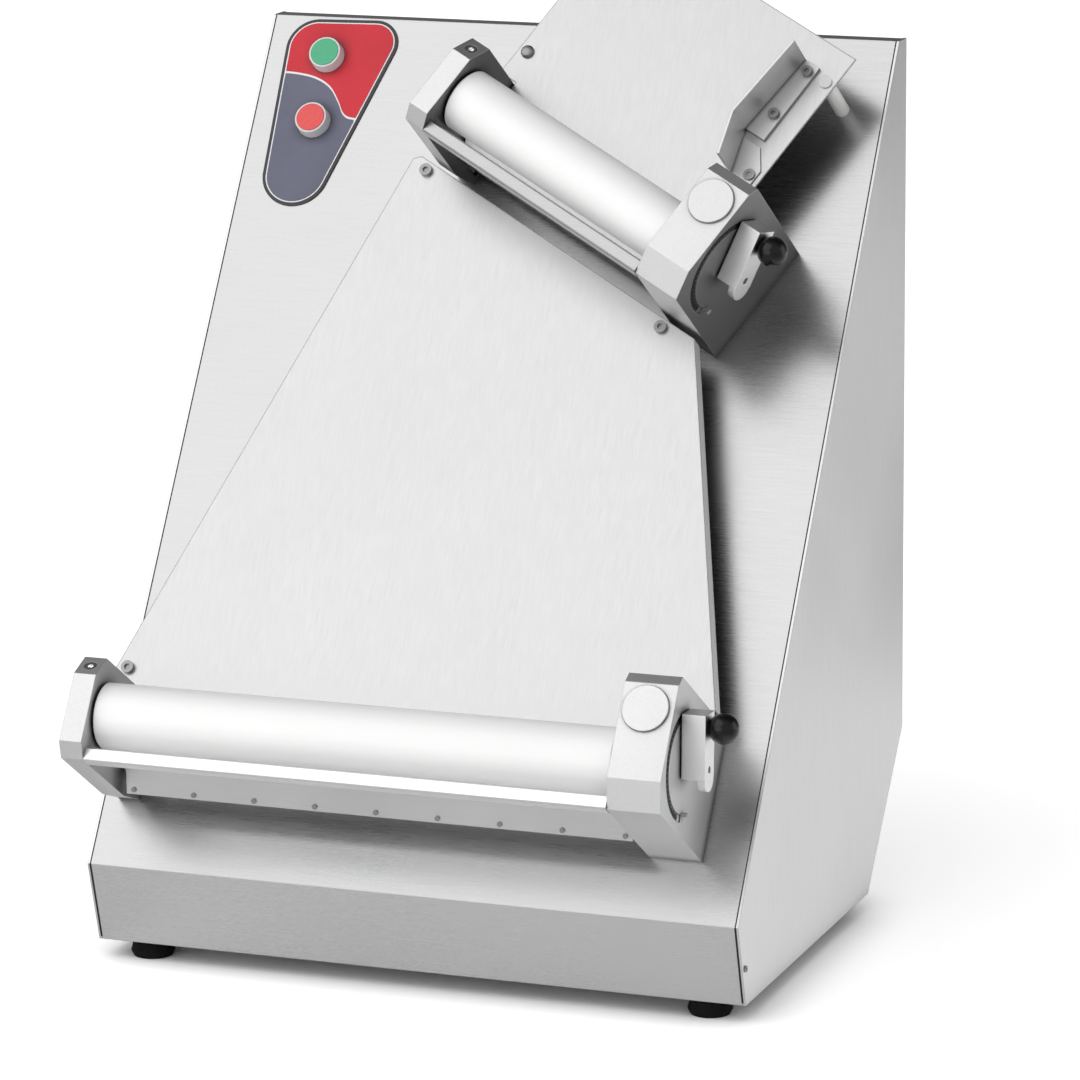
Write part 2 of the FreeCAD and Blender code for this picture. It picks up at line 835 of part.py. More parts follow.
CHEEK_SCREW = Placement(Vector(-9, 119.75, 117.5), Rotation(Vector(1, 0, 0), -36.61))
CHEEK_FACE_SCREWS = [(53.5, 107.5), (66.0, 40.0)]


def gear_housing(stage):
    """Hollow right end, open towards the panel, around the gears, the belt and the lever's cam."""
    body = new_body(f"{stage.name}_gear_housing", stage.frame)
    bottom = D.stage_bottom
    front = D.stage_front
    outline = [
        (bottom, 0.0),
        (bottom + 0.4, front - 12.0),
        (bottom + 21.0, front),
        (bottom + 94.0, front),
        (bottom + 102.5, front - 5.5),
        (bottom + 102.5, 0.0),
    ]
    pad_polygon(body, "YZ_Plane", stage.gap, D.housing_width, outline)
    inside = front - D.front_wall
    cavity = [
        (bottom + 4.0, -1.0),
        (bottom + 4.0, inside - 11.0),
        (bottom + 22.0, inside),
        (bottom + 92.0, inside),
        (bottom + 98.5, inside - 4.5),
        (bottom + 98.5, -1.0),
    ]
    depth = D.housing_width - D.inner_wall - D.outer_wall
    cut_polygon(body, "YZ_Plane", stage.gap + D.inner_wall, depth, cavity)
    wall = D.inner_wall + 2.0
    start = stage.gap - 1.0
    cut_disc(body, "YZ_Plane", start, wall, D.bush_radius, (D.roller_rise, D.front_roller_out))
    cut_polygon(body, "YZ_Plane", start, wall, box_points(80.5, 30.0, 98.5, 51.5))
    cut_polygon(body, "YZ_Plane", start, wall, box_points(60.0, 7.5, 69.0, 20.5))
    outer = stage.gap + D.housing_width
    pivot = (D.pivot_rise, D.pivot_out)
    journal = D.cam_shaft + D.running_clearance
    cut_disc(body, "YZ_Plane", outer - D.outer_wall - 1.0, D.outer_wall + 2.0, journal, pivot)
    cap_spot = (stage.gap + 19.6, CAP_RISE)
    cut_disc(body, "XY_Plane", front - D.front_wall - 1.0, 5.0, 12.1, cap_spot)
    index_groove(body, outer)
    index_holes(body, outer)
    return body


CAP_RISE = 121.5
GROOVE_START = 20.0
GROOVE_TURN = 178.0


def index_groove(body, outer):
    """Shallow arc that the lever's index pin runs in."""
    base = Placement(
        Vector(0, D.pivot_rise.value, D.pivot_out.value), Rotation(Vector(1, 0, 0), GROOVE_START)
    )
    sketch = tilted_sketch(body, "XY_Plane", base)
    near = D.index_radius - 3.0
    far = D.index_radius + 3.0
    draw_polygon(sketch, box_points(outer - 0.8, near, outer + 1.0, far))
    groove = body.newObject("PartDesign::Groove", "IndexGroove")
    groove.Profile = sketch
    groove.ReferenceAxis = (sketch, ["H_Axis"])
    groove.Angle = GROOVE_TURN
    CUTS.append(groove)


def index_holes(body, outer):
    """Holes in the groove's floor that mark the lever's settings."""
    depth = D.outer_wall - 1.0
    angle = D.lever_angle.value
    placement = Placement(
        Vector(D.pivot_rise.value, D.pivot_out.value, outer.value - depth.value), Rotation(angle, 0, 0)
    )
    sketch = tilted_sketch(body, "YZ_Plane", placement)
    hole = cut(body, draw_circle(sketch, (D.index_radius, 0.0), 1.5), depth + 1.0)
    polar_copies(body, hole, sketch, D.lever_travel.value + 7.0, INDEX_HOLES)


def roller(label, placement, gap):
    """Plastic roller sleeve with eased ends."""
    length = gap - 2 * D.roller_end_gap
    steps = [
        (D.roller_end_gap, length, D.roller_radius - 0.8),
        (D.roller_end_gap + 0.8, length - 1.6, D.roller_radius),
    ]
    return turned(label, placement, "YZ_Plane", steps, D.shaft_radius + D.running_clearance)


def front_shaft(stage):
    steps = [
        (-9.5, stage.gap + 38.0, D.journal_radius),
        (0.75, stage.gap - 1.5, D.shaft_radius),
    ]
    return turned(f"{stage.name}_front_shaft", front_axis(stage), "YZ_Plane", steps)


def rear_shaft(stage):
    steps = [
        (-9.0, stage.gap + D.plate_start + D.plate_thickness + 9.0, D.journal_radius),
        (0.75, stage.gap - 1.5, D.shaft_radius),
    ]
    return turned(f"{stage.name}_rear_shaft", rear_axis(stage), "YZ_Plane", steps)


def involute_tooth(phase):
    """One gear tooth's outline about the gear's centre, its middle at the angle phase."""
    pitch = D.gear_module.value * GEAR_TEETH / 2
    base = pitch * math.cos(PRESSURE_ANGLE)
    thickness = math.pi * D.gear_module.value / 2 - 2 * BACKLASH_HALF
    half_pitch = thickness / (2 * pitch) + math.tan(PRESSURE_ANGLE) - PRESSURE_ANGLE
    flank = []
    low = D.gear_root.value - 0.4
    flank.append((low, half_pitch))
    for step in range(6):
        radius = base + (D.gear_tip.value - base) * step / 5
        spread = math.acos(min(1.0, base / radius))
        flank.append((radius, half_pitch - (math.tan(spread) - spread)))
    right = [(radius, phase - angle) for radius, angle in flank]
    left = [(radius, phase + angle) for radius, angle in reversed(flank)]
    return [(radius * math.cos(angle), radius * math.sin(angle)) for radius, angle in right + left]


def gear(label, placement, start, phase):
    body = new_body(label, placement)
    pad_disc(body, "YZ_Plane", start, D.gear_width, D.gear_root)
    sketch = draw_polygon(new_sketch(body, "YZ_Plane", start), involute_tooth(phase))
    tooth = pad(body, sketch, D.gear_width)
    polar_copies(body, tooth, sketch, 360, GEAR_TEETH)
    return body


def sheave_groove(body, plane_at):
    """Groove for a round belt, around the body's own X axis."""
    half = D.belt_groove
    floor = D.belt_pitch - D.belt_groove
    profile = [
        (plane_at - half, D.sheave_radius + 1.0),
        (plane_at - half, D.belt_pitch - 0.4),
        (plane_at - 2.3, floor + 0.7),
        (plane_at + 0.0, floor - 0.05),
        (plane_at + 2.3, floor + 0.7),
        (plane_at + half, D.belt_pitch - 0.4),
        (plane_at + half, D.sheave_radius + 1.0),
    ]
    sketch = draw_polygon(new_sketch(body, "XY_Plane"), profile)
    groove = body.newObject("PartDesign::Groove", "BeltGroove")
    groove.Profile = sketch
    groove.ReferenceAxis = (sketch, ["H_Axis"])
    groove.Angle = 360
    CUTS.append(groove)


def front_gear(stage):
    """Gear of the fixed front roller, in one piece with its belt sheave."""
    start = stage.gap + D.gear_start
    body = gear(f"{stage.name}_front_gear", front_axis(stage), start, math.radians(-90 + 180 / GEAR_TEETH))
    sheave = stage.gap + D.belt_plane
    hub = start + D.gear_width
    pad_disc(body, "YZ_Plane", hub, 3.0, 14.0)
    pad_disc(body, "YZ_Plane", sheave - 4.2, 8.6, D.sheave_radius)
    sheave_groove(body, sheave)
    cut_disc(body, "YZ_Plane", start - 1.0, 30.0, D.journal_radius + D.running_clearance)
    return body


def rear_gear(stage):
    start = stage.gap + D.gear_start
    body = gear(f"{stage.name}_rear_gear", rear_axis(stage), start, math.radians(90))
    pad_disc(body, "YZ_Plane", start + D.gear_width, 4.0, 12.0)
    cut_disc(body, "YZ_Plane", start - 1.0, 20.0, D.journal_radius + D.running_clearance)
    return body


def carriage(stage):
    """The two slide plates of the rear roller with the tie rod welded between them."""
    body = new_body(f"{stage.name}_carriage", stage.frame)
    low = [(59.8, 10.0), (70.0, 10.0), (103.0, 30.0)]
    left = low + [(103.0, 56.0), (76.0, 56.0), (59.8, 25.0)]
    right = low + [(103.0, 66.2), (76.0, 66.2), (76.0, 56.0), (59.8, 25.0)]
    rod = (64.8, 15.5)
    pad_polygon(body, "YZ_Plane", -9.0, 8.0, left)
    pad_disc(body, "YZ_Plane", -2.0, stage.gap + D.plate_start + 3.0, D.tie_rod_radius, rod)
    pad_polygon(body, "YZ_Plane", stage.gap + D.plate_start, D.plate_thickness, right)
    bore = D.journal_radius + D.running_clearance
    spot = (D.roller_rise, REAR_ROLLER_OUT)
    cut_disc(body, "YZ_Plane", -10.0, 10.0, bore, spot)
    cut_disc(body, "YZ_Plane", stage.gap + D.plate_start - 1.0, D.plate_thickness + 2.0, bore, spot)
    return body


def roller_bushes():
    """Plain bearing bushes of the front shafts, one in each cheek and each housing wall."""
    bushes = []
    along = Rotation(Vector(0, 1, 0), 90)
    for stage in STAGES:
        for start, length in ((-10.0, 9.9), (stage.gap, D.inner_wall)):
            spot = at(front_axis(stage), start, 0, 0, along)
            ring = cylinder(spot, D.bush_radius, length)
            hole = cylinder(spot, D.journal_radius + D.running_clearance, length)
            bushes.append(difference(ring, hole))
    return group("roller_bushes", bushes)


def front_bar(stage):
    """Polished bar under the front roller that ties the cheek to the housing."""
    body = new_body(f"{stage.name}_front_bar", stage.frame)
    low = D.stage_bottom
    out = D.stage_front - 20.0
    outline = [
        (low, out),
        (low, out + 9.5),
        (low + 1.0, out + 10.5),
        (low + 9.5, out + 10.5),
        (low + 10.5, out + 9.5),
        (low + 10.5, out),
    ]
    pad_polygon(body, "YZ_Plane", 0.0, stage.gap, outline)
    return body


SCRAPER_START = (47.0, 39.4)
SCRAPER_END = (65.2, 52.0)
SCRAPER_SCREWS = 9
SCRAPER_PITCH = 49.0


def scraper_frame(stage):
    """X along the scraper, Y up its face, Z out of its face."""
    angle = math.degrees(math.atan2(SCRAPER_END[1] - SCRAPER_START[1], SCRAPER_END[0] - SCRAPER_START[0]))
    return at(stage.frame, 7.0, *SCRAPER_START, Rotation(Vector(1, 0, 0), angle))


def scraper_plate(stage):
    """Plate that peels the dough off the rear roller and sends it out at the front."""
    body = new_body(f"{stage.name}_scraper_plate", scraper_frame(stage))
    height = math.dist(SCRAPER_START, SCRAPER_END)
    pad_polygon(body, "XY_Plane", 0.0, 1.5, box_points(0.0, 0.0, stage.gap - 8.0, height))
    pad_polygon(body, "XY_Plane", -8.0, 8.0, box_points(0.0, 0.5, stage.gap - 8.0, 9.5))
    return body


def scraper_screws(stage):
    spots = []
    for i in range(SCRAPER_SCREWS):
        spots.append(at(scraper_frame(stage), 6.0 + SCRAPER_PITCH * i, 3.6, 1.5))
    return group(f"{stage.name}_scraper_screws", [cylinder(spot, 2.0, 1.0) for spot in spots])


def lever_cam(stage):
    """Spiral cam, round journal and square shank in one turned and milled piece."""
    reach = D.cam_low.value
    lift = D.carriage_travel.value
    travel = D.lever_travel.value
    points = []
    for i in range(CAM_POINTS):
        turn = 360.0 * i / CAM_POINTS
        share = turn / travel if turn <= travel else (360.0 - turn) / (360.0 - travel)
        angle = math.radians(270.0 - D.lever_angle.value - turn)
        radius = reach + lift * share
        points.append(Vector(0, radius * math.cos(angle), radius * math.sin(angle)))
    points.append(points[0])
    inner = -D.outer_wall.value - D.plate_thickness.value - 0.2
    disc = Part.Face(Part.makePolygon(points)).extrude(Vector(5.6, 0, 0))
    disc.translate(Vector(inner, 0, 0))
    journal = Part.makeCylinder(D.cam_shaft.value, -inner, Vector(inner, 0, 0), Vector(1, 0, 0))
    shank = square_shank(SHANK_SIDE.value, 15.0)
    node = DOC.addObject("Part::Feature", f"{stage.name}_lever_cam")
    node.Shape = disc.fuse([journal, shank]).removeSplitter()
    return keep(node, f"{stage.name}_lever_cam", lever_frame(stage))


SHANK_SIDE = D.cam_shaft * 1.35


def square_shank(side, length):
    shank = Part.makeBox(length + 1.0, side, side)
    shank.translate(Vector(-1.0, -side / 2, -side / 2))
    return shank


def lever(stage):
    """Handle block with its outer plate, square bore and index pin."""
    body = new_body(f"{stage.name}_lever", lever_frame(stage))
    half = D.lever_width / 2
    start = D.lever_start
    end = D.lever_length
    pad_polygon(body, "YZ_Plane", start, D.lever_thickness, box_points(-7.5, -half, end, half))
    plate = start + D.lever_thickness - D.lever_plate
    pad_polygon(body, "YZ_Plane", plate, D.lever_plate, box_points(-9.0, -half + 0.8, 5.0, half - 0.8))
    pad_disc(body, "YZ_Plane", plate, D.lever_plate, half - 0.8, (-8.3, 0.0))
    pad_disc(body, "YZ_Plane", start - 1.6, 2.4, 1.4, (D.index_radius, 0.0))
    reach = SHANK_SIDE / 2 + D.running_clearance
    cut_polygon(body, "YZ_Plane", start - 1.0, 16.5, box_points(-reach, -reach, reach, reach))
    cut_disc(body, "YZ_Plane", plate - 1.0, D.lever_plate + 2.0, 2.7, (-1.0, 0.0))
    cut_disc(body, "YZ_Plane", start + 10.0, 10.0, 3.05, (D.knob_along, 0.0))
    return body


def lever_knob(stage):
    """Ball knob with its flat seat and its threaded stud."""
    spot = at(lever_frame(stage), D.knob_out, D.knob_along, 0)
    seat = D.lever_start + D.lever_thickness - D.knob_out
    ball = DOC.addObject("Part::Sphere", "Ball")
    bind(ball, "Radius", D.knob_radius)
    ball.Placement = spot
    trim = cylinder(at(spot, seat - 6.0, 0, 0, Rotation(Vector(0, 1, 0), 90)), 14.0, 7.0)
    stud = cylinder(at(spot, seat - 8.0, 0, 0, Rotation(Vector(0, 1, 0), 90)), 3.0, 12.0)
    neck = cylinder(at(spot, seat, 0, 0, Rotation(Vector(0, 1, 0), 90)), 5.5, 2.5)
    return group(f"{stage.name}_lever_knob", [fused([difference(ball, trim), stud, neck])])


def lever_stop_pins():
    """Steel pins that end each lever's travel."""
    angle = math.radians(203.0)
    reach = D.index_radius.value - 2.0
    pins = []
    for stage in STAGES:
        y = reach * math.cos(angle)
        z = reach * math.sin(angle)
        spot = at(pivot_axis(stage), 0, y, z, Rotation(Vector(0, 1, 0), 90))
        pins.append(cylinder(spot, 2.2, 4.5))
    return group("lever_stop_pins", pins)


def housing_caps():
    """Round covers over the oiling holes in the front faces of both gear housings."""
    caps = []
    for stage in STAGES:
        face = at(stage.frame, stage.gap + 19.6, CAP_RISE, D.stage_front)
        disc = cone(face, 18.0, 17.4, 2.0)
        plug = cylinder(at(face, z=-2.0), 12.0, 2.0)
        caps.append(fused([disc, plug]))
    return group("housing_caps", caps)


def cheek_screws():
    """Socket screws: one sunk in each cheek's top, two small ones in each cheek's outer face."""
    screws = []
    outwards = Rotation(Vector(0, 1, 0), -90)
    for stage in STAGES:
        sunk = stage.frame.multiply(CHEEK_SCREW)
        screws.append(screw(at(sunk, z=-3.4), 4.5, 3.0, 2.5, 20.0))
        for y, z in CHEEK_FACE_SCREWS:
            spot = at(stage.frame, -D.cheek_thickness, y, z, outwards)
            screws.append(screw(spot, 3.4, 2.2, 1.8, 6.0))
    return group("cheek_screws", screws)


# --- drive -----------------------------------------------------------------------------------------------

def motor_spot():
    """Centre of the motor pulley's lower belt groove."""
    return at(LOWER.frame, LOWER.gap + D.belt_plane, D.roller_rise, -D.motor_behind).Base


def layshaft_spot():
    """Centre of the layshaft groove that serves the upper stage."""
    return at(UPPER.frame, UPPER.gap + D.belt_plane, D.roller_rise, -D.layshaft_behind).Base


def motor():
    """Geared motor lying across the case, with its foot on the base plate."""
    frame = Placement(motor_spot(), Rotation())
    radius = D.motor_radius
    steps = [
        (-215.0, 118.0, radius),
        (-98.0, 52.0, radius - 6.0),
        (-222.0, 8.0, radius - 14.0),
        (-47.0, 8.0, 24.0),
        (-40.0, 46.5, D.journal_radius),
    ]
    body = turned("motor", frame, "YZ_Plane", steps)
    floor = D.foot_height + D.sheet + 2.0 - frame.Base.z
    pad_polygon(body, "YZ_Plane", -200.0, 90.0, box_points(-45.0, floor, 45.0, -20.0))
    return body


def motor_pulley():
    frame = Placement(motor_spot(), Rotation())
    steps = [(-D.riser_offset - 5.5, D.riser_offset + 11.0, D.sheave_radius)]
    body = turned("motor_pulley", frame, "YZ_Plane", steps, D.journal_radius + D.running_clearance)
    sheave_groove(body, 0.0)
    sheave_groove(body, -D.riser_offset)
    return body


def layshaft_drum():
    """Long plastic sheave that turns on the fixed layshaft."""
    frame = Placement(layshaft_spot(), Rotation())
    run = motor_spot().x - D.riser_offset.value - frame.Base.x
    body = turned("layshaft_drum", frame, "YZ_Plane", [(-6.5, run + 13.0, D.sheave_radius)], 6.06)
    sheave_groove(body, 0.0)
    sheave_groove(body, run)
    return body


def layshaft_bracket():
    """Flange on the right side panel with the fixed layshaft pin welded to it."""
    frame = Placement(layshaft_spot(), Rotation())
    wall = (case_half_width() - D.sheet - D.origin_right).value - frame.Base.x
    body = new_body("layshaft_bracket", frame)
    pad_polygon(body, "YZ_Plane", wall - 6.0, 6.0, box_points(-26.0, -26.0, 26.0, 26.0))
    pad_disc(body, "YZ_Plane", wall - 12.0, 7.0, 14.0)
    pad_disc(body, "YZ_Plane", -10.0, wall + 6.0, 6.0)
    return body


def cord_loop(near, near_axis, far, far_axis):
    """Closed cord around two equal sheaves whose axes may be turned about the line between them."""
    run = far - near
    run.normalize()
    radius = D.belt_pitch.value
    near_side = near_axis.cross(run) * radius
    far_side = far_axis.cross(run) * radius
    ahead = run * radius
    stretches = [
        (Part.Arc(near + near_side, near - ahead, near - near_side).toShape(), near + near_side, -run),
        (smooth_link(near - near_side, far - far_side, run), near - near_side, run),
        (Part.Arc(far - far_side, far + ahead, far + far_side).toShape(), far - far_side, run),
        (smooth_link(far + far_side, near + near_side, -run), far + far_side, -run),
    ]
    cords = []
    for path, start, direction in stretches:
        ring = Part.Wire([Part.Circle(start, direction, D.belt_cord.value).toShape()])
        cords.append(Part.Wire([path]).makePipeShell([ring], True, False))
    return cords[0].fuse(cords[1:])


def smooth_link(start, end, direction):
    """A line, or a gently bent curve where the ends are out of line, leaving both ends along direction."""
    if (end - start).normalize().dot(direction) > 0.999999:
        return Part.LineSegment(start, end).toShape()
    curve = Part.BSplineCurve()
    curve.interpolate(Points=[start, end], InitialTangent=direction, FinalTangent=direction)
    return curve.toShape()


def belt(label, near, near_axis, far, far_axis):
    node = DOC.addObject("Part::Feature", label)
    node.Shape = cord_loop(near, near_axis, far, far_axis)
    return keep(node, label, Placement())


def belts():
    across = Vector(1, 0, 0)
    motor_at = motor_spot()
    second = motor_at - across * D.riser_offset.value
    drum_at = layshaft_spot()
    drum_second = Vector(second.x, drum_at.y, drum_at.z)
    lower_sheave = at(front_axis(LOWER), LOWER.gap + D.belt_plane).Base
    upper_sheave = at(front_axis(UPPER), UPPER.gap + D.belt_plane).Base
    upper_across = UPPER.frame.Rotation.multVec(across)
    belt("lower_belt", motor_at, across, lower_sheave, across)
    belt("riser_belt", second, across, drum_second, across)
    belt("upper_belt", drum_at, across, upper_sheave, upper_across)


def control_box():
    """Box for the contactor, on the base plate."""
    body = new_body("control_box", CASE)
    floor = D.sheet + 2.0
    pad_polygon(body, "XY_Plane", floor, 62.0, box_points(-205.0, 170.0, -115.0, 250.0))
    pad_polygon(body, "XY_Plane", floor + 62.0, 4.0, box_points(-207.0, 168.0, -113.0, 252.0))
    return body


# --- assembly --------------------------------------------------------------------------------------------

def build_case():
    front_panel()
    half = D.case_width / 2
    side_panel("left_side_panel", -half)
    side_panel("right_side_panel", half - D.side_sheet)
    rear_panel()
    base_plate()
    rubber_feet()
    casing_screws()
    control_plate()
    button_bezels()
    button_cap("start_button_cap", button_spots()[0])
    button_cap("stop_button_cap", button_spots()[1])
    switch_blocks()
    power_inlet()
    control_box()


def build_feed():
    dough_slide()
    feed_chute()
    chute_guide()
    chute_pegs()
    plate_screws()


def build_stage(stage):
    left_cheek(stage)
    gear_housing(stage)
    roller(f"{stage.name}_front_roller", front_axis(stage), stage.gap)
    roller(f"{stage.name}_rear_roller", rear_axis(stage), stage.gap)
    front_shaft(stage)
    rear_shaft(stage)
    front_gear(stage)
    rear_gear(stage)
    carriage(stage)
    front_bar(stage)
    lever_cam(stage)
    lever(stage)
    lever_knob(stage)


def build_shared():
    scraper_plate(LOWER)
    scraper_screws(LOWER)
    roller_bushes()
    lever_stop_pins()
    housing_caps()
    cheek_screws()


def build_drive():
    motor()
    motor_pulley()
    layshaft_drum()
    layshaft_bracket()
    belts()


def check_document():
    """Stop if any object failed, any cut removed nothing, or any sub-part isn't a valid shape."""
    for item in DOC.Objects:
        if {"Invalid", "Error"} & set(item.State):
            raise RuntimeError(f"{item.Name} ({item.Label}) failed: {item.State}")
    for feature in CUTS:
        before = feature.BaseFeature.Shape.Volume
        if feature.Shape.Volume > before - 0.01:
            raise RuntimeError(f"{feature.Name} in {feature.getParent().Label} cuts nothing")
    for node in NODES:
        if node.Shape.isNull() or not node.Shape.isValid():
            raise RuntimeError(f"{node.Label} has no valid shape")


def export_nodes():
    os.makedirs("parts", exist_ok=True)
    for node in NODES:
        node.Shape.exportStep(os.path.join("parts", f"{node.Label}.step"))


build_case()
build_feed()
for each_stage in STAGES:
    build_stage(each_stage)
build_shared()
build_drive()
DOC.recompute()
check_document()
export_nodes()
print(f"{len(NODES)} sub-parts written")
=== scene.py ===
import math

import bpy
from mathutils import Matrix, Vector


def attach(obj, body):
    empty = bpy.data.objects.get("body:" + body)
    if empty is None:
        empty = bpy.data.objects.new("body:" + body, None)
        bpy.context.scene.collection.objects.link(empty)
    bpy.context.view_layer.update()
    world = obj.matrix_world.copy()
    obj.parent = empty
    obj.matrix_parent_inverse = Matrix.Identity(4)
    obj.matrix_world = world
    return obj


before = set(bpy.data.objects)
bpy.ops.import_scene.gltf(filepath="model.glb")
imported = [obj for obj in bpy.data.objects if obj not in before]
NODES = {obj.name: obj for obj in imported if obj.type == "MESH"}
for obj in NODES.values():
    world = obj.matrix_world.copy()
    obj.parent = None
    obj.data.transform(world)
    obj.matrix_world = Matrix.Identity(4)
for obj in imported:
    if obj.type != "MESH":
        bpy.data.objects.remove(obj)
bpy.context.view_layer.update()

MM = 0.001

# sizes below are in millimetres; the case's own origin in the shared frame
CASE_ORIGIN = Vector((-1.5, -170.26, 15.0))

# side view of the front sheet, (Y, Z) from the case's origin: bottom edge, fold, top of the slope
FRONT_PROFILE = [(17.15, 2.0), (0.0, 64.4), (390.7, 660.2)]
FOLD_HEIGHT = FRONT_PROFILE[1][1]

# the sloping panel's frame: X across, Y up the slope, Z out of the steel
SLOPE = math.atan2(FRONT_PROFILE[2][1] - FOLD_HEIGHT, FRONT_PROFILE[2][0])
FOLD = CASE_ORIGIN + Vector((0.0, 0.0, FOLD_HEIGHT))
PANEL = Matrix.Translation(FOLD * MM) @ Matrix.Rotation(SLOPE, 4, "X")

# each roller stage's origin on the panel, its turn in degrees, and the X of its housing's outer face
STAGES = {
    "lower": (Vector((-228.5, 0.0, 0.0)), 0.0, 452.5),
    "upper": (Vector((-87.7, 527.3, 0.0)), -29.0, 259.0),
}


def stage_frame(stage):
    origin, turned, _ = STAGES[stage]
    return PANEL @ Matrix.Translation(origin * MM) @ Matrix.Rotation(math.radians(turned), 4, "Z")


# --- materials -------------------------------------------------------------------------------------

class Shader:
    """A principled material whose inputs are driven by small procedural node groups."""

    def __init__(self, name):
        self.material = bpy.data.materials.new(name)
        self.material.use_nodes = True
        self.tree = self.material.node_tree
        self.tree.nodes.clear()
        self.surface = self.add("ShaderNodeBsdfPrincipled")
        output = self.add("ShaderNodeOutputMaterial")
        self.link(self.surface.outputs[0], output.inputs[0])
        self.place = self.add("ShaderNodeTexCoord").outputs["Object"]

    def add(self, kind, **values):
        node = self.tree.nodes.new(kind)
        for key, value in values.items():
            setattr(node, key, value)
        return node

    def link(self, source, target):
        self.tree.links.new(source, target)

    def fill(self, socket, value):
        if hasattr(value, "is_linked"):
            self.link(value, socket)
        else:
            socket.default_value = value

    def noise(self, scale, stretch=(1, 1, 1), detail=3.0, rough=0.55):
        mapping = self.add("ShaderNodeMapping")
        mapping.inputs["Scale"].default_value = [scale * s for s in stretch]
        self.link(self.place, mapping.inputs["Vector"])
        noise = self.add("ShaderNodeTexNoise")
        noise.inputs["Scale"].default_value = 1.0
        noise.inputs["Detail"].default_value = detail
        noise.inputs["Roughness"].default_value = rough
        self.link(mapping.outputs[0], noise.inputs["Vector"])
        return noise.outputs["Fac"]

    def remap(self, value, low, high, start=0.3, end=0.7):
        node = self.add("ShaderNodeMapRange")
        self.fill(node.inputs["Value"], value)
        for key, number in (("From Min", start), ("From Max", end), ("To Min", low), ("To Max", high)):
            self.fill(node.inputs[key], number)
        return node.outputs["Result"]

    def math(self, operation, a, b):
        node = self.add("ShaderNodeMath", operation=operation)
        self.fill(node.inputs[0], a)
        self.fill(node.inputs[1], b)
        return node.outputs[0]

    def mix(self, factor, a, b, blend="MIX"):
        node = self.add("ShaderNodeMix", data_type="RGBA", blend_type=blend)
        self.fill(node.inputs[0], factor)
        self.fill(node.inputs[6], a)
        self.fill(node.inputs[7], b)
        return node.outputs[2]

    def facing(self, direction):
        """How far a face looks along a direction, from -1 to 1."""
        geometry = self.add("ShaderNodeNewGeometry")
        dot = self.add("ShaderNodeVectorMath", operation="DOT_PRODUCT")
        self.link(geometry.outputs["True Normal"], dot.inputs[0])
        dot.inputs[1].default_value = direction
        return dot.outputs["Value"]

    def convex_edge_mask(self, width, sharp=0.9, soft=1.0):
        """About 1 along convex edges and 0 elsewhere; a lower soft leaves gentle folds alone."""
        bevel = self.add("ShaderNodeBevel", samples=4)
        bevel.inputs["Radius"].default_value = width
        geometry = self.add("ShaderNodeNewGeometry")
        dot = self.add("ShaderNodeVectorMath", operation="DOT_PRODUCT")
        self.link(bevel.outputs[0], dot.inputs[0])
        self.link(geometry.outputs["Normal"], dot.inputs[1])
        return self.remap(dot.outputs["Value"], 1.0, 0.0, sharp, soft), bevel.outputs[0]

    def closeness(self, distance, shut=0.25, open_air=0.85):
        """About 1 in the open and near 0 where another surface almost touches; the mask for painted shade
        near contacts.
        """
        occlusion = self.add("ShaderNodeAmbientOcclusion", samples=6)
        occlusion.inputs["Distance"].default_value = distance
        return self.remap(occlusion.outputs["AO"], 0.0, 1.0, shut, open_air)

    def relief(self, height, strength, distance, normal=None):
        bump = self.add("ShaderNodeBump")
        bump.inputs["Strength"].default_value = strength
        bump.inputs["Distance"].default_value = distance
        self.fill(bump.inputs["Height"], height)
        if normal is not None:
            self.link(normal, bump.inputs["Normal"])
        self.link(bump.outputs[0], self.surface.inputs["Normal"])

    def set(self, **values):
        names = {"color": "Base Color", "metal": "Metallic", "rough": "Roughness", "coat": "Coat Weight",
                 "coat_rough": "Coat Roughness", "subsurface": "Subsurface Weight", "ior": "IOR"}
        for key, value in values.items():
            self.fill(self.surface.inputs[names[key]], value)


def rgba(level, tint=(1.0, 1.0, 1.0)):
    return (level * tint[0], level * tint[1], level * tint[2], 1.0)


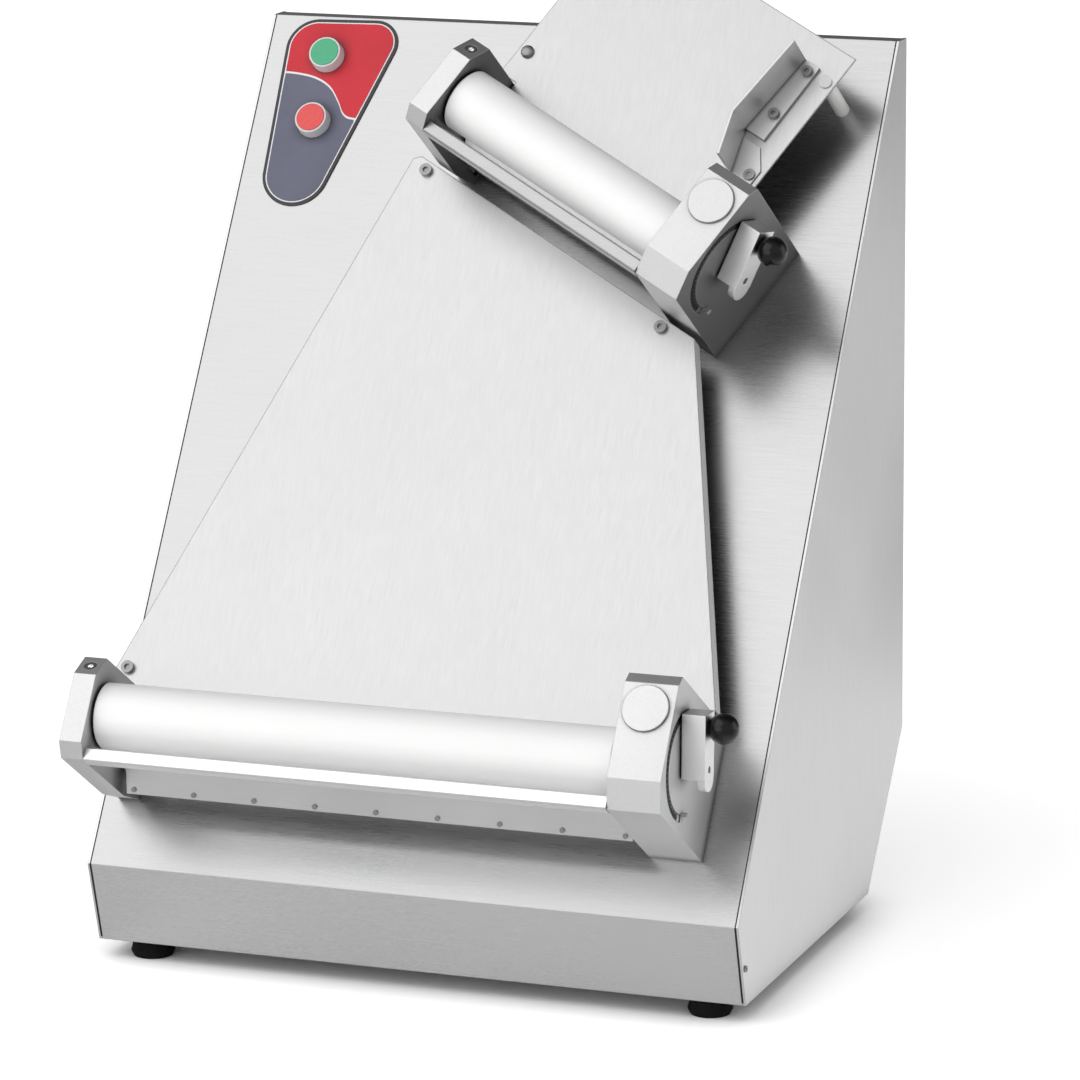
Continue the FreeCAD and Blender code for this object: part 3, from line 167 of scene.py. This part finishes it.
def metal(name, level, rough, grain=(1, 1, 1), fineness=900.0, cloud=0.05, grain_depth=0.06, edge=0.0006,
          tint=(1.0, 1.0, 1.01), streak=0.03, shade=(), edge_level=None, edge_share=0.6, fold=1.0,
          painted_contact_shade=None):
    """Bare metal with a directional grain, soft clouds in tone and gloss, and edges of their own tone.

    shade lists (direction, level, metallic) for faces looking that way, painted light and shade that makes a
    face lighter or darker by its facing; a low edge_level paints dark outlines along edges, which is painted
    shade; a fold below 1 leaves gentle folds out of the edge band; the contact-shade argument holds closeness
    arguments and paints shade near contacts.
    """
    shader = Shader(name)
    lines = shader.noise(fineness, grain, 4.0, 0.7)
    clouds = shader.noise(7.0, (1, 1, 1), 4.0, 0.5)
    fine = shader.noise(2600.0, (1, 1, 1), 2.0, 0.5)
    edge_band, normal = shader.convex_edge_mask(edge, fold - 0.1, fold)
    dull = rgba(level * (1 - cloud), tint)
    bright = rgba(level * (1 + cloud), tint)
    tone = shader.mix(shader.remap(clouds, 0.0, 1.0), dull, bright)
    tone = shader.mix(shader.remap(lines, 0.0, 1.0), tone, rgba(1 - streak * 2), "MULTIPLY")
    metallic = 1.0
    # painted light and shade: faces looking along a listed direction get their own tone and metallic
    for direction, face_level, face_metallic in shade:
        share = shader.remap(shader.facing(direction), 0.0, 1.0, 0.93, 0.99)
        tone = shader.mix(share, tone, rgba(face_level))
        metallic = shader.remap(share, metallic, face_metallic, 0.0, 1.0)
    # a low edge_level paints a dark outline along the edges, which is painted shade
    edge_tone = rgba(edge_level or min(1.0, level * 1.12))
    tone = shader.mix(shader.math("MULTIPLY", edge_band, edge_share), tone, edge_tone)
    # painted shade: the colour darkens where another surface almost touches
    if painted_contact_shade:
        tone = shader.mix(shader.closeness(*painted_contact_shade), rgba(level * 0.12), tone)
    gloss = shader.remap(clouds, rough * 0.9, rough * 1.12)
    gloss = shader.math("ADD", gloss, shader.remap(lines, -0.03, 0.04))
    shader.set(color=tone, metal=metallic, rough=gloss)
    height = shader.math("ADD", lines, shader.math("MULTIPLY", fine, 0.3))
    shader.relief(height, grain_depth, 0.0003, normal)
    return shader.material


def plastic(name, color, rough, dark=0.92, orange_peel=0.05, edge=0.0005, coat=0.0, speckle=240.0, ior=1.45,
            painted_contact_shade=None):
    """Moulded plastic or rubber: faint tone drift, skin texture, softer colour on handled edges."""
    shader = Shader(name)
    drift = shader.noise(18.0, (1, 1, 1), 3.0)
    skin = shader.noise(speckle, (1, 1, 1), 3.0, 0.6)
    edge_band, normal = shader.convex_edge_mask(edge)
    shade = tuple(c * dark for c in color[:3]) + (1.0,)
    tone = shader.mix(shader.remap(drift, 0.0, 1.0), color, shade)
    lifted = tuple(min(1.0, c * 1.15 + 0.01) for c in color[:3]) + (1.0,)
    tone = shader.mix(shader.math("MULTIPLY", edge_band, 0.5), tone, lifted)
    # painted shade: the colour darkens towards black where another surface almost touches
    if painted_contact_shade:
        tone = shader.mix(shader.closeness(*painted_contact_shade), rgba(0.01), tone)
    gloss = shader.math("ADD", shader.remap(skin, rough * 0.9, rough * 1.1), shader.remap(drift, -0.02, 0.03))
    shader.set(color=tone, metal=0.0, rough=gloss, coat=coat, coat_rough=0.08, ior=ior)
    shader.relief(skin, orange_peel, 0.0002, normal)
    return shader.material


FORWARD = (0.0, -1.0, 0.0)
UPPER_STAGE_RIGHT = (0.875, -0.266, -0.405)
SLIDE_RIGHT = (0.972, 0.128, 0.196)

MATERIALS = {
    # painted light: the forward-facing front face gets a lighter tone; the dark edge band is partly the dark
    # joint line, partly painted shade
    "case_steel": metal("case_steel", 0.455, 0.27, (0.02, 1, 1), 1500.0, 0.035, 0.04, streak=0.015,
                        shade=[(FORWARD, 0.74, 1.0)], edge=0.0009, edge_level=0.13, edge_share=0.8,
                        fold=0.93),
    # the dark edge band is partly the dark joint line, partly painted shade
    "side_steel": metal("side_steel", 0.66, 0.40, (1, 1, 0.02), 1500.0, 0.04, 0.06, edge_level=0.18,
                        edge_share=0.8),
    # painted light: the right flange becomes a pale non-metallic tone; painted shade: near-black outlines
    # along the edges
    "slide_steel": metal("slide_steel", 0.50, 0.34, (1, 0.05, 0.05), 1100.0, 0.05, 0.05, 0.0013,
                         shade=[(SLIDE_RIGHT, 0.62, 0.0)], edge_level=0.05, edge_share=0.9),
    # painted shade: the wall facing the upper stage's right is darker, and the colour darkens near contacts
    "guide_steel": metal("guide_steel", 0.62, 0.42, (1, 1, 1), 1100.0, 0.04, 0.06, 0.0006,
                         shade=[(UPPER_STAGE_RIGHT, 0.58, 1.0)], edge_level=0.10, painted_contact_shade=(0.004,)),
    "scraper_steel": metal("scraper_steel", 0.56, 0.40, (0.02, 1, 1), 1300.0, 0.04, 0.06, 0.0004),
    # painted shade: the upper housing's outer face is darkened, and the colour darkens near contacts such as
    # beside the levers
    "machined_aluminium": metal("machined_aluminium", 0.64, 0.46, (1, 1, 1), 700.0, 0.03, 0.10, 0.0008,
                                shade=[(UPPER_STAGE_RIGHT, 0.22, 1.0)], painted_contact_shade=(0.012, 0.42, 0.90)),
    # painted shade: the colour darkens near contacts
    "lever_steel": metal("lever_steel", 0.78, 0.40, (1, 0.05, 1), 1500.0, 0.05, 0.08, 0.0008, edge_level=1.0,
                         painted_contact_shade=(0.003,)),
    "satin_steel": metal("satin_steel", 0.66, 0.34, (0.05, 1, 1), 1500.0, 0.05, 0.08, 0.0005),
    "turned_steel": metal("turned_steel", 0.28, 0.36, (0.5, 1, 1), 2200.0, 0.05, 0.05, 0.0003,
                          edge_level=0.20),
    "shaft_steel": metal("shaft_steel", 0.62, 0.26, (0.5, 1, 1), 2200.0, 0.05, 0.05, 0.0003),
    # painted shade: dark bands along the bars' edges
    "polished_steel": metal("polished_steel", 0.70, 0.28, (0.03, 1, 1), 1200.0, 0.03, 0.04, 0.0006,
                            edge_level=0.35),
    "brushed_bar": metal("brushed_bar", 0.42, 0.34, (0.03, 1, 1), 1200.0, 0.03, 0.05, 0.0012, edge_level=0.12,
                         edge_share=0.8),
    "chrome": metal("chrome", 0.95, 0.12, (1, 1, 1), 1500.0, 0.02, 0.03, 0.0004),
    # painted shade: a near-black finish for the linings in the index grooves
    "painted_groove_shade": metal("painted_groove_shade", 0.035, 0.45, (1, 1, 1), 1800.0, 0.10, 0.10, 0.0002, edge_level=0.12),
    "bezel_grey": plastic("bezel_grey", (0.74, 0.74, 0.75, 1), 0.35, 0.95, 0.02, 0.0006, 0.2),
    "roller_white": plastic("roller_white", (0.97, 0.97, 0.965, 1), 0.34, 0.99, 0.03, 0.001, 0.10, 120.0),
    "gear_white": plastic("gear_white", (0.82, 0.80, 0.74, 1), 0.42, 0.93, 0.06),
    "peg_white": plastic("peg_white", (0.80, 0.80, 0.79, 1), 0.45, 0.94, 0.04),
    "belt_green": plastic("belt_green", (0.03, 0.16, 0.09, 1), 0.5, 0.8, 0.15),
    "foot_rubber": plastic("foot_rubber", (0.007, 0.007, 0.008, 1), 0.8, 0.8, 0.25, ior=1.22),
    "knob_black": plastic("knob_black", (0.003, 0.003, 0.004, 1), 0.24, 0.9, 0.02, 0.0004, 0.10, ior=1.35),
    "box_black": plastic("box_black", (0.03, 0.03, 0.032, 1), 0.45, 0.85, 0.2),
    "button_green": plastic("button_green", (0.035, 0.42, 0.20, 1), 0.28, 0.94, 0.03, 0.0008, 0.4),
    "button_red": plastic("button_red", (0.78, 0.05, 0.045, 1), 0.28, 0.94, 0.03, 0.0008, 0.4),
    "seam_dark": plastic("seam_dark", (0.02, 0.02, 0.022, 1), 0.6, 0.8, 0.10, ior=1.3),
    "plate_black": plastic("plate_black", (0.03, 0.03, 0.034, 1), 0.35, 0.9, 0.03),
    "plate_white": plastic("plate_white", (0.85, 0.85, 0.86, 1), 0.35, 0.96, 0.02),
    # painted shade: the red and slate fields darken next to the button bezels
    "plate_red": plastic("plate_red", (0.68, 0.022, 0.040, 1), 0.55, 0.8, 0.02, 0.0003, 0.0, 900.0,
                         painted_contact_shade=(0.010, 0.35, 0.92)),
    "plate_slate": plastic("plate_slate", (0.145, 0.148, 0.213, 1), 0.55, 0.85, 0.02, 0.0003, 0.0, 900.0,
                           painted_contact_shade=(0.010, 0.35, 0.92)),
    "motor_grey": plastic("motor_grey", (0.12, 0.13, 0.14, 1), 0.42, 0.9, 0.35, 0.001, 0.2, 420.0),
    "bronze": metal("bronze", 0.55, 0.35, (1, 1, 1), 1500.0, 0.06, 0.05, 0.0003, (1.0, 0.74, 0.42)),
}

PAINT = {
    "case_steel": ["front_panel", "rear_panel", "base_plate"],
    "side_steel": ["left_side_panel", "right_side_panel"],
    "slide_steel": ["dough_slide", "feed_chute"],
    "guide_steel": ["chute_guide"],
    "scraper_steel": ["lower_scraper_plate"],
    "machined_aluminium": ["lower_left_cheek", "upper_left_cheek", "lower_gear_housing", "upper_gear_housing",
                           "housing_caps"],
    "lever_steel": ["lower_lever", "upper_lever"],
    "satin_steel": ["lower_carriage", "upper_carriage", "layshaft_bracket"],
    "turned_steel": ["casing_screws", "plate_screws", "lower_scraper_screws"],
    "shaft_steel": ["lever_stop_pins", "lower_lever_cam", "upper_lever_cam", "lower_front_shaft",
                    "upper_front_shaft", "lower_rear_shaft", "upper_rear_shaft"],
    "polished_steel": ["lower_front_bar"],
    "brushed_bar": ["upper_front_bar"],
    "chrome": ["cheek_screws"],
    "bezel_grey": ["button_bezels"],
    "roller_white": ["lower_front_roller", "upper_front_roller", "lower_rear_roller", "upper_rear_roller"],
    "gear_white": ["lower_front_gear", "upper_front_gear", "lower_rear_gear", "upper_rear_gear",
                   "layshaft_drum", "motor_pulley"],
    "peg_white": ["chute_pegs"],
    "belt_green": ["lower_belt", "riser_belt", "upper_belt"],
    "foot_rubber": ["rubber_feet"],
    "knob_black": ["lower_lever_knob", "upper_lever_knob"],
    "box_black": ["switch_blocks", "power_inlet", "control_box"],
    "button_green": ["start_button_cap"],
    "button_red": ["stop_button_cap"],
    "plate_black": ["control_plate"],
    "motor_grey": ["motor"],
    "bronze": ["roller_bushes"],
}


def paint(piece, finish):
    piece.data.materials.clear()
    piece.data.materials.append(MATERIALS[finish])


for finish, names in PAINT.items():
    for name in names:
        paint(NODES[name], finish)


# --- pieces in mesh code ----------------------------------------------------------------------------

def new_piece(name, vertices, faces, finish, matrix=PANEL):
    """A piece of the fixed casing, from millimetres in the matrix's frame."""
    mesh = bpy.data.meshes.new(name)
    mesh.from_pydata([Vector(v) * MM for v in vertices], [], faces)
    mesh.transform(matrix)
    mesh.update()
    piece = bpy.data.objects.new(name, mesh)
    bpy.context.scene.collection.objects.link(piece)
    paint(piece, finish)
    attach(piece, "root")
    return piece


# --- printed layers of the control plate --------------------------------------------------------------

# the rounded triangle is the hull of three discs (centre, radius): foot, right shoulder, left shoulder
FOOT_DISC = ((-211.5, 576.0), 28.0)
RIGHT_DISC = ((-170.0, 689.5), 21.0)
LEFT_DISC = ((-218.0, 684.5), 25.0)
PLATE_DISCS = [FOOT_DISC, RIGHT_DISC, LEFT_DISC]
DIVIDER = [(-250.0, 662.5), (-228.0, 661.5), (-211.0, 658.0), (-198.0, 650.5), (-189.0, 639.0),
           (-183.0, 629.0), (-176.0, 625.0), (-140.0, 623.5)]
HALF_DIVIDER = 0.9

# places in the panel's frame, and heights over the steel for the faces of the plate and its layers
BUTTONS = [(-205.5, 677.2), (-205.5, 620.5)]
BUTTON_HOLE_RADIUS = 13.9
EDGE_ROOM = 0.01
THINNEST_COLUMN = 0.02
PLATE_FACE = 1.0
KEYLINE_FACE = 1.10
FIELD_FACE = 1.22
KEYLINE_INSET = 2.6
FIELD_INSET = 3.6


def plate_span(x, inset):
    """Lowest and highest Y of the rounded triangle at X, drawn in by inset."""
    outline = []
    for centre, radius in PLATE_DISCS:
        for step in range(72):
            angle = math.tau * step / 72
            reach = radius - inset
            outline.append((centre[0] + reach * math.cos(angle), centre[1] + reach * math.sin(angle)))
    hull = convex_hull(outline)
    cuts = []
    for i, (ax, ay) in enumerate(hull):
        bx, by = hull[(i + 1) % len(hull)]
        if (ax - x) * (bx - x) <= 0 and ax != bx:
            cuts.append(ay + (by - ay) * (x - ax) / (bx - ax))
    return min(cuts), max(cuts)


def convex_hull(points):
    points = sorted(set(points))

    def half(run):
        chain = []
        for p in run:
            while len(chain) > 1 and turn(chain[-2], chain[-1], p) <= 0:
                chain.pop()
            chain.append(p)
        return chain[:-1]

    return half(points) + half(points[::-1])


def turn(a, b, c):
    return (b[0] - a[0]) * (c[1] - a[1]) - (b[1] - a[1]) * (c[0] - a[0])


def divider_rise(x):
    """Height of the smooth line between the two fields at X."""
    last = len(DIVIDER) - 1
    slopes = [
        (DIVIDER[min(i + 1, last)][1] - DIVIDER[max(i - 1, 0)][1])
        / (DIVIDER[min(i + 1, last)][0] - DIVIDER[max(i - 1, 0)][0])
        for i in range(last + 1)
    ]
    for i in range(last):
        (ax, ay), (bx, by) = DIVIDER[i], DIVIDER[i + 1]
        if x <= bx:
            run = bx - ax
            t = max(0.0, (x - ax) / run)
            rise = (2 * t**3 - 3 * t**2 + 1) * ay + (3 * t**2 - 2 * t**3) * by
            return rise + (t**3 - 2 * t**2 + t) * run * slopes[i] + (t**3 - t**2) * run * slopes[i + 1]
    return DIVIDER[-1][1]


def printed_layer(name, finish, inset, low_z, high_z, bottom=None, top=None):
    """A thin layer over the plate between two curves, each a function of X or the plate's own edge."""
    left = min(centre[0] - radius for centre, radius in (LEFT_DISC, FOOT_DISC)) + inset + EDGE_ROOM
    right = RIGHT_DISC[0][0] + RIGHT_DISC[1] - inset - EDGE_ROOM
    columns = []
    count = 120
    for i in range(count + 1):
        share = (1 - math.cos(math.pi * i / count)) / 2
        x = left + (right - left) * share
        low, high = plate_span(x, inset)
        if bottom:
            low = max(low, bottom(x))
        if top:
            high = min(high, top(x))
        if high - low > THINNEST_COLUMN:
            columns.append((x, low, high))
    vertices = []
    for x, low, high in columns:
        vertices += [(x, low, low_z), (x, high, low_z), (x, high, high_z), (x, low, high_z)]
    faces = [(0, 1, 2, 3), tuple(4 * (len(columns) - 1) + k for k in (3, 2, 1, 0))]
    for i in range(len(columns) - 1):
        a = 4 * i
        b = a + 4
        for k in range(4):
            n = (k + 1) % 4
            faces.append((a + k, b + k, b + n, a + n))
    cut_button_holes(new_piece(name, vertices, faces, finish))


def cut_button_holes(piece):
    for x, y in BUTTONS:
        cutter = hole_cutter((x, y, -2.0), BUTTON_HOLE_RADIUS, 6.0)
        modifier = piece.modifiers.new("hole", "BOOLEAN")
        modifier.operation = "DIFFERENCE"
        modifier.solver = "EXACT"
        modifier.object = cutter
        apply_modifiers(piece)
        bpy.data.objects.remove(cutter)


def hole_cutter(base, radius, height):
    """A round cutting tool, in the panel's frame."""
    count = 64
    ring = []
    for i in range(count):
        angle = math.tau * i / count
        ring.append((base[0] + radius * math.cos(angle), base[1] + radius * math.sin(angle)))
    vertices = [(x, y, base[2]) for x, y in ring] + [(x, y, base[2] + height) for x, y in ring]
    faces = [tuple(range(count - 1, -1, -1)), tuple(range(count, 2 * count))]
    faces += [(i, (i + 1) % count, count + (i + 1) % count, count + i) for i in range(count)]
    mesh = bpy.data.meshes.new("cutter")
    mesh.from_pydata([Vector(v) * MM for v in vertices], [], faces)
    mesh.transform(PANEL)
    cutter = bpy.data.objects.new("cutter", mesh)
    bpy.context.scene.collection.objects.link(cutter)
    return cutter


def apply_modifiers(piece):
    bpy.context.view_layer.update()
    graph = bpy.context.evaluated_depsgraph_get()
    mesh = bpy.data.meshes.new_from_object(piece.evaluated_get(graph))
    piece.modifiers.clear()
    piece.data = mesh


printed_layer("plate_keyline", "plate_white", KEYLINE_INSET, PLATE_FACE, KEYLINE_FACE)
printed_layer("plate_upper_field", "plate_red", FIELD_INSET, KEYLINE_FACE, FIELD_FACE,
              bottom=lambda x: divider_rise(x) + HALF_DIVIDER)
printed_layer("plate_lower_field", "plate_slate", FIELD_INSET, KEYLINE_FACE, FIELD_FACE,
              top=lambda x: divider_rise(x) - HALF_DIVIDER)


# --- seams between the front sheet and the side panels ----------------------------------------------------

SEAM_X = 257.6
SEAM_RISE = 0.18
UPRIGHT_HALF_WIDTH = 0.75
SLOPE_HALF_WIDTH = 0.40


def seam(name, x):
    """A dark bead along the joint, wider on the upright part than on the slope."""
    vertices = []
    bottom, fold, top = FRONT_PROFILE
    for start, end, half in ((bottom, fold, UPRIGHT_HALF_WIDTH), (fold, top, SLOPE_HALF_WIDTH)):
        run = Vector((end[0] - start[0], end[1] - start[1])).normalized()
        away = Vector((0.0, -run.y, run.x)) * SEAM_RISE
        for y, z in (start, end):
            for across in (-half, half):
                foot = CASE_ORIGIN + Vector((x + across, y, z))
                vertices += [foot, foot + away]
    faces = []
    for first in (0, 8):
        a, b, c, d, e, f, g, h = range(first, first + 8)
        faces += [(a, b, d, c), (e, g, h, f), (a, e, f, b), (c, d, h, g), (b, f, h, d), (a, c, g, e)]
    new_piece(name, vertices, faces, "seam_dark", matrix=Matrix())


seam("left_front_seam", -SEAM_X)
seam("right_front_seam", SEAM_X)


# --- painted shade: dark linings of the levers' index grooves -------------------------------------------

# the levers' pivot in a stage's own Y and Z, and the depths of the lining under the housing's face
PIVOT = (95.0, 79.5)
LEVER_ANGLE = 31.0
LEVER_SWEEP = 157.0
SETTINGS = 24
STEPS_PER_SETTING = 8
INDEX_RADIUS = 38.0
NARROW_HALF = 1.4
SCALLOP = 1.3
LINING = (-0.79, -0.66)


def index_scale(stage):
    """A thin dark lining on the groove's floor, painted shade for the groove and its index holes; its inner
    and outer rims scalloped around the settings.
    """
    face = STAGES[stage][2]
    floor_depth, top_depth = LINING
    steps = STEPS_PER_SETTING * (SETTINGS - 1)
    vertices = []
    for i in range(steps + 1):
        angle = math.radians(LEVER_ANGLE + LEVER_SWEEP * i / steps)
        swell = NARROW_HALF + SCALLOP * abs(math.cos(math.pi * i / STEPS_PER_SETTING))
        inner = INDEX_RADIUS - swell
        outer = INDEX_RADIUS + swell
        section = ((inner, floor_depth), (outer, floor_depth), (outer, top_depth), (inner, top_depth))
        for reach, depth in section:
            y = PIVOT[0] + reach * math.cos(angle)
            z = PIVOT[1] + reach * math.sin(angle)
            vertices.append((face + depth, y, z))
    last = 4 * steps
    faces = [(0, 1, 2, 3), (last + 3, last + 2, last + 1, last)]
    for i in range(steps):
        for k in range(4):
            a = 4 * i + k
            b = 4 * i + (k + 1) % 4
            faces.append((a, a + 4, b + 4, b))
    new_piece(f"{stage}_index_scale", vertices, faces, "painted_groove_shade", matrix=stage_frame(stage))


for stage in STAGES:
    index_scale(stage)


# --- cap on the chute's inner peg -----------------------------------------------------------------------

INNER_PEG = (-7.4, 155.1)

# (radius, height over the panel), from the hollow underside out and over the dome
PEG_CAP_PROFILE = [(0.0, 51.65), (5.1, 51.65), (5.1, 50.03), (5.3, 50.03), (5.3, 51.3), (4.9, 52.2),
                   (3.9, 53.0), (2.2, 53.5), (0.0, 53.65)]


def peg_cap():
    """A domed screw cap over the head of the chute's inner peg."""
    around = 32
    vertices = []
    for radius, height in PEG_CAP_PROFILE:
        for i in range(around):
            angle = math.tau * i / around
            x = INNER_PEG[0] + radius * math.cos(angle)
            y = INNER_PEG[1] + radius * math.sin(angle)
            vertices.append((x, y, height))
    faces = []
    for k in range(len(PEG_CAP_PROFILE) - 1):
        for i in range(around):
            a = k * around + i
            b = k * around + (i + 1) % around
            faces.append((a, b, b + around, a + around))
    new_piece("chute_peg_cap", vertices, faces, "turned_steel", matrix=stage_frame("upper"))


peg_cap()


# --- floor, light and camera ----------------------------------------------------------------------------

def floor():
    mesh = bpy.data.meshes.new("floor")
    half = 9.0
    corners = [(-half, -half, 0), (half, -half, 0), (half, half, 0), (-half, half, 0)]
    mesh.from_pydata(corners, [], [(0, 1, 2, 3)])
    plane = bpy.data.objects.new("floor", mesh)
    bpy.context.scene.collection.objects.link(plane)
    shader = Shader("floor_paper")
    shader.set(color=shader.mix(shader.remap(shader.noise(3.0), 0.0, 1.0), rgba(0.93), rgba(0.95)), rough=0.8)
    seen = shader.add("ShaderNodeLightPath").outputs["Is Camera Ray"]
    distance = shader.add("ShaderNodeVectorMath", operation="LENGTH")
    shader.link(shader.place, distance.inputs[0])
    # the camera-only glow whitens the floor, weaker near the machine; the closeness factor paints a contact
    # shadow under the machine
    glow = shader.remap(distance.outputs["Value"], 0.58, 0.80, 0.35, 1.6)
    glow = shader.math("MULTIPLY", glow, shader.closeness(0.06))
    shader.fill(shader.surface.inputs["Emission Color"], rgba(1.0))
    shader.fill(shader.surface.inputs["Emission Strength"], shader.math("MULTIPLY", seen, glow))
    mesh.materials.append(shader.material)


def sky():
    """Soft grey surroundings for the reflections; the camera itself sees white."""
    world = bpy.data.worlds.new("studio")
    bpy.context.scene.world = world
    world.use_nodes = True
    tree = world.node_tree
    tree.nodes.clear()
    output = tree.nodes.new("ShaderNodeOutputWorld")
    room = tree.nodes.new("ShaderNodeBackground")
    white = tree.nodes.new("ShaderNodeBackground")
    mixer = tree.nodes.new("ShaderNodeMixShader")
    path = tree.nodes.new("ShaderNodeLightPath")
    coordinates = tree.nodes.new("ShaderNodeTexCoord")
    away = tree.nodes.new("ShaderNodeVectorMath")
    away.operation = "DOT_PRODUCT"
    away.inputs[1].default_value = Vector((0.10, 0.72, 0.68))
    ramp = tree.nodes.new("ShaderNodeValToRGB")
    tree.links.new(coordinates.outputs["Generated"], away.inputs[0])
    tree.links.new(away.outputs["Value"], ramp.inputs[0])
    ramp.color_ramp.elements[0].position = 0.30
    ramp.color_ramp.elements[0].color = rgba(0.64)
    ramp.color_ramp.elements[1].position = 0.85
    ramp.color_ramp.elements[1].color = rgba(0.07)
    tree.links.new(ramp.outputs[0], room.inputs[0])
    room.inputs[1].default_value = 1.0
    white.inputs[0].default_value = rgba(1.0)
    white.inputs[1].default_value = 1.0
    tree.links.new(path.outputs["Is Camera Ray"], mixer.inputs[0])
    tree.links.new(room.outputs[0], mixer.inputs[1])
    tree.links.new(white.outputs[0], mixer.inputs[2])
    tree.links.new(mixer.outputs[0], output.inputs[0])


LIT_POINT = Vector((0.0, 0.0, 0.32))
CARD_HEIGHT = 0.006


def area_light(name, width, height, power):
    lamp = bpy.data.lights.new(name, "AREA")
    lamp.shape = "RECTANGLE"
    lamp.size = width
    lamp.size_y = height
    lamp.energy = power
    light = bpy.data.objects.new(name, lamp)
    bpy.context.scene.collection.objects.link(light)
    return light


def softbox(name, direction, distance, width, height, power):
    """Soft light in a direction from the machine, turned towards it."""
    away = Vector(direction).normalized()
    light = area_light(name, width, height, power)
    light.location = LIT_POINT + away * distance
    light.rotation_euler = away.to_track_quat("Z", "Y").to_euler()


def floor_card(name, place, width, depth, power):
    """Bright card lying on the floor, for the steel to mirror; the camera itself doesn't see it."""
    card = area_light(name, width, depth, power)
    card.location = (place[0], place[1], CARD_HEIGHT)
    card.rotation_euler = (math.pi, 0.0, 0.0)
    card.visible_camera = False


CAMERA_AZIMUTH = 20.52
CAMERA_ELEVATION = 13.13
CAMERA_ROLL = -0.50
CAMERA_DISTANCE = 4246.2
CAMERA_TARGET = Vector((51.11, -20.26, 320.93))
CAMERA_LENS = 187.74


def camera():
    azimuth = math.radians(CAMERA_AZIMUTH)
    elevation = math.radians(CAMERA_ELEVATION)
    roll = math.radians(CAMERA_ROLL)
    back = Vector((math.sin(azimuth) * math.cos(elevation), -math.cos(azimuth) * math.cos(elevation),
                   math.sin(elevation)))
    right = Vector((math.cos(azimuth), math.sin(azimuth), 0.0))
    up = back.cross(right)
    turned_right = right * math.cos(roll) + up * math.sin(roll)
    turned_up = up * math.cos(roll) - right * math.sin(roll)
    data = bpy.data.cameras.new("camera")
    data.lens = CAMERA_LENS
    data.sensor_width = 36.0
    data.clip_end = 60.0
    viewer = bpy.data.objects.new("camera", data)
    turned = Matrix((turned_right, turned_up, back)).transposed().to_4x4()
    viewer.matrix_world = Matrix.Translation((CAMERA_TARGET + back * CAMERA_DISTANCE) * MM) @ turned
    bpy.context.scene.collection.objects.link(viewer)
    bpy.context.scene.camera = viewer


floor()
sky()
softbox("key", (-0.50, -0.60, 0.75), 3.6, 4.5, 3.4, 58.0)
softbox("side_fill", (1.0, 0.35, 0.25), 3.4, 2.2, 2.4, 16.0)
softbox("front_fill", (-0.35, -0.92, 0.10), 3.2, 3.0, 1.0, 14.0)
floor_card("far_card", (1.85, 1.9), 1.8, 3.0, 12.0)
floor_card("middle_card", (0.75, 0.55), 0.40, 1.3, 0.75)
floor_card("near_card", (0.41, 0.20), 0.28, 1.3, 0.66)
camera()
bpy.context.scene.view_settings.view_transform = "Standard"
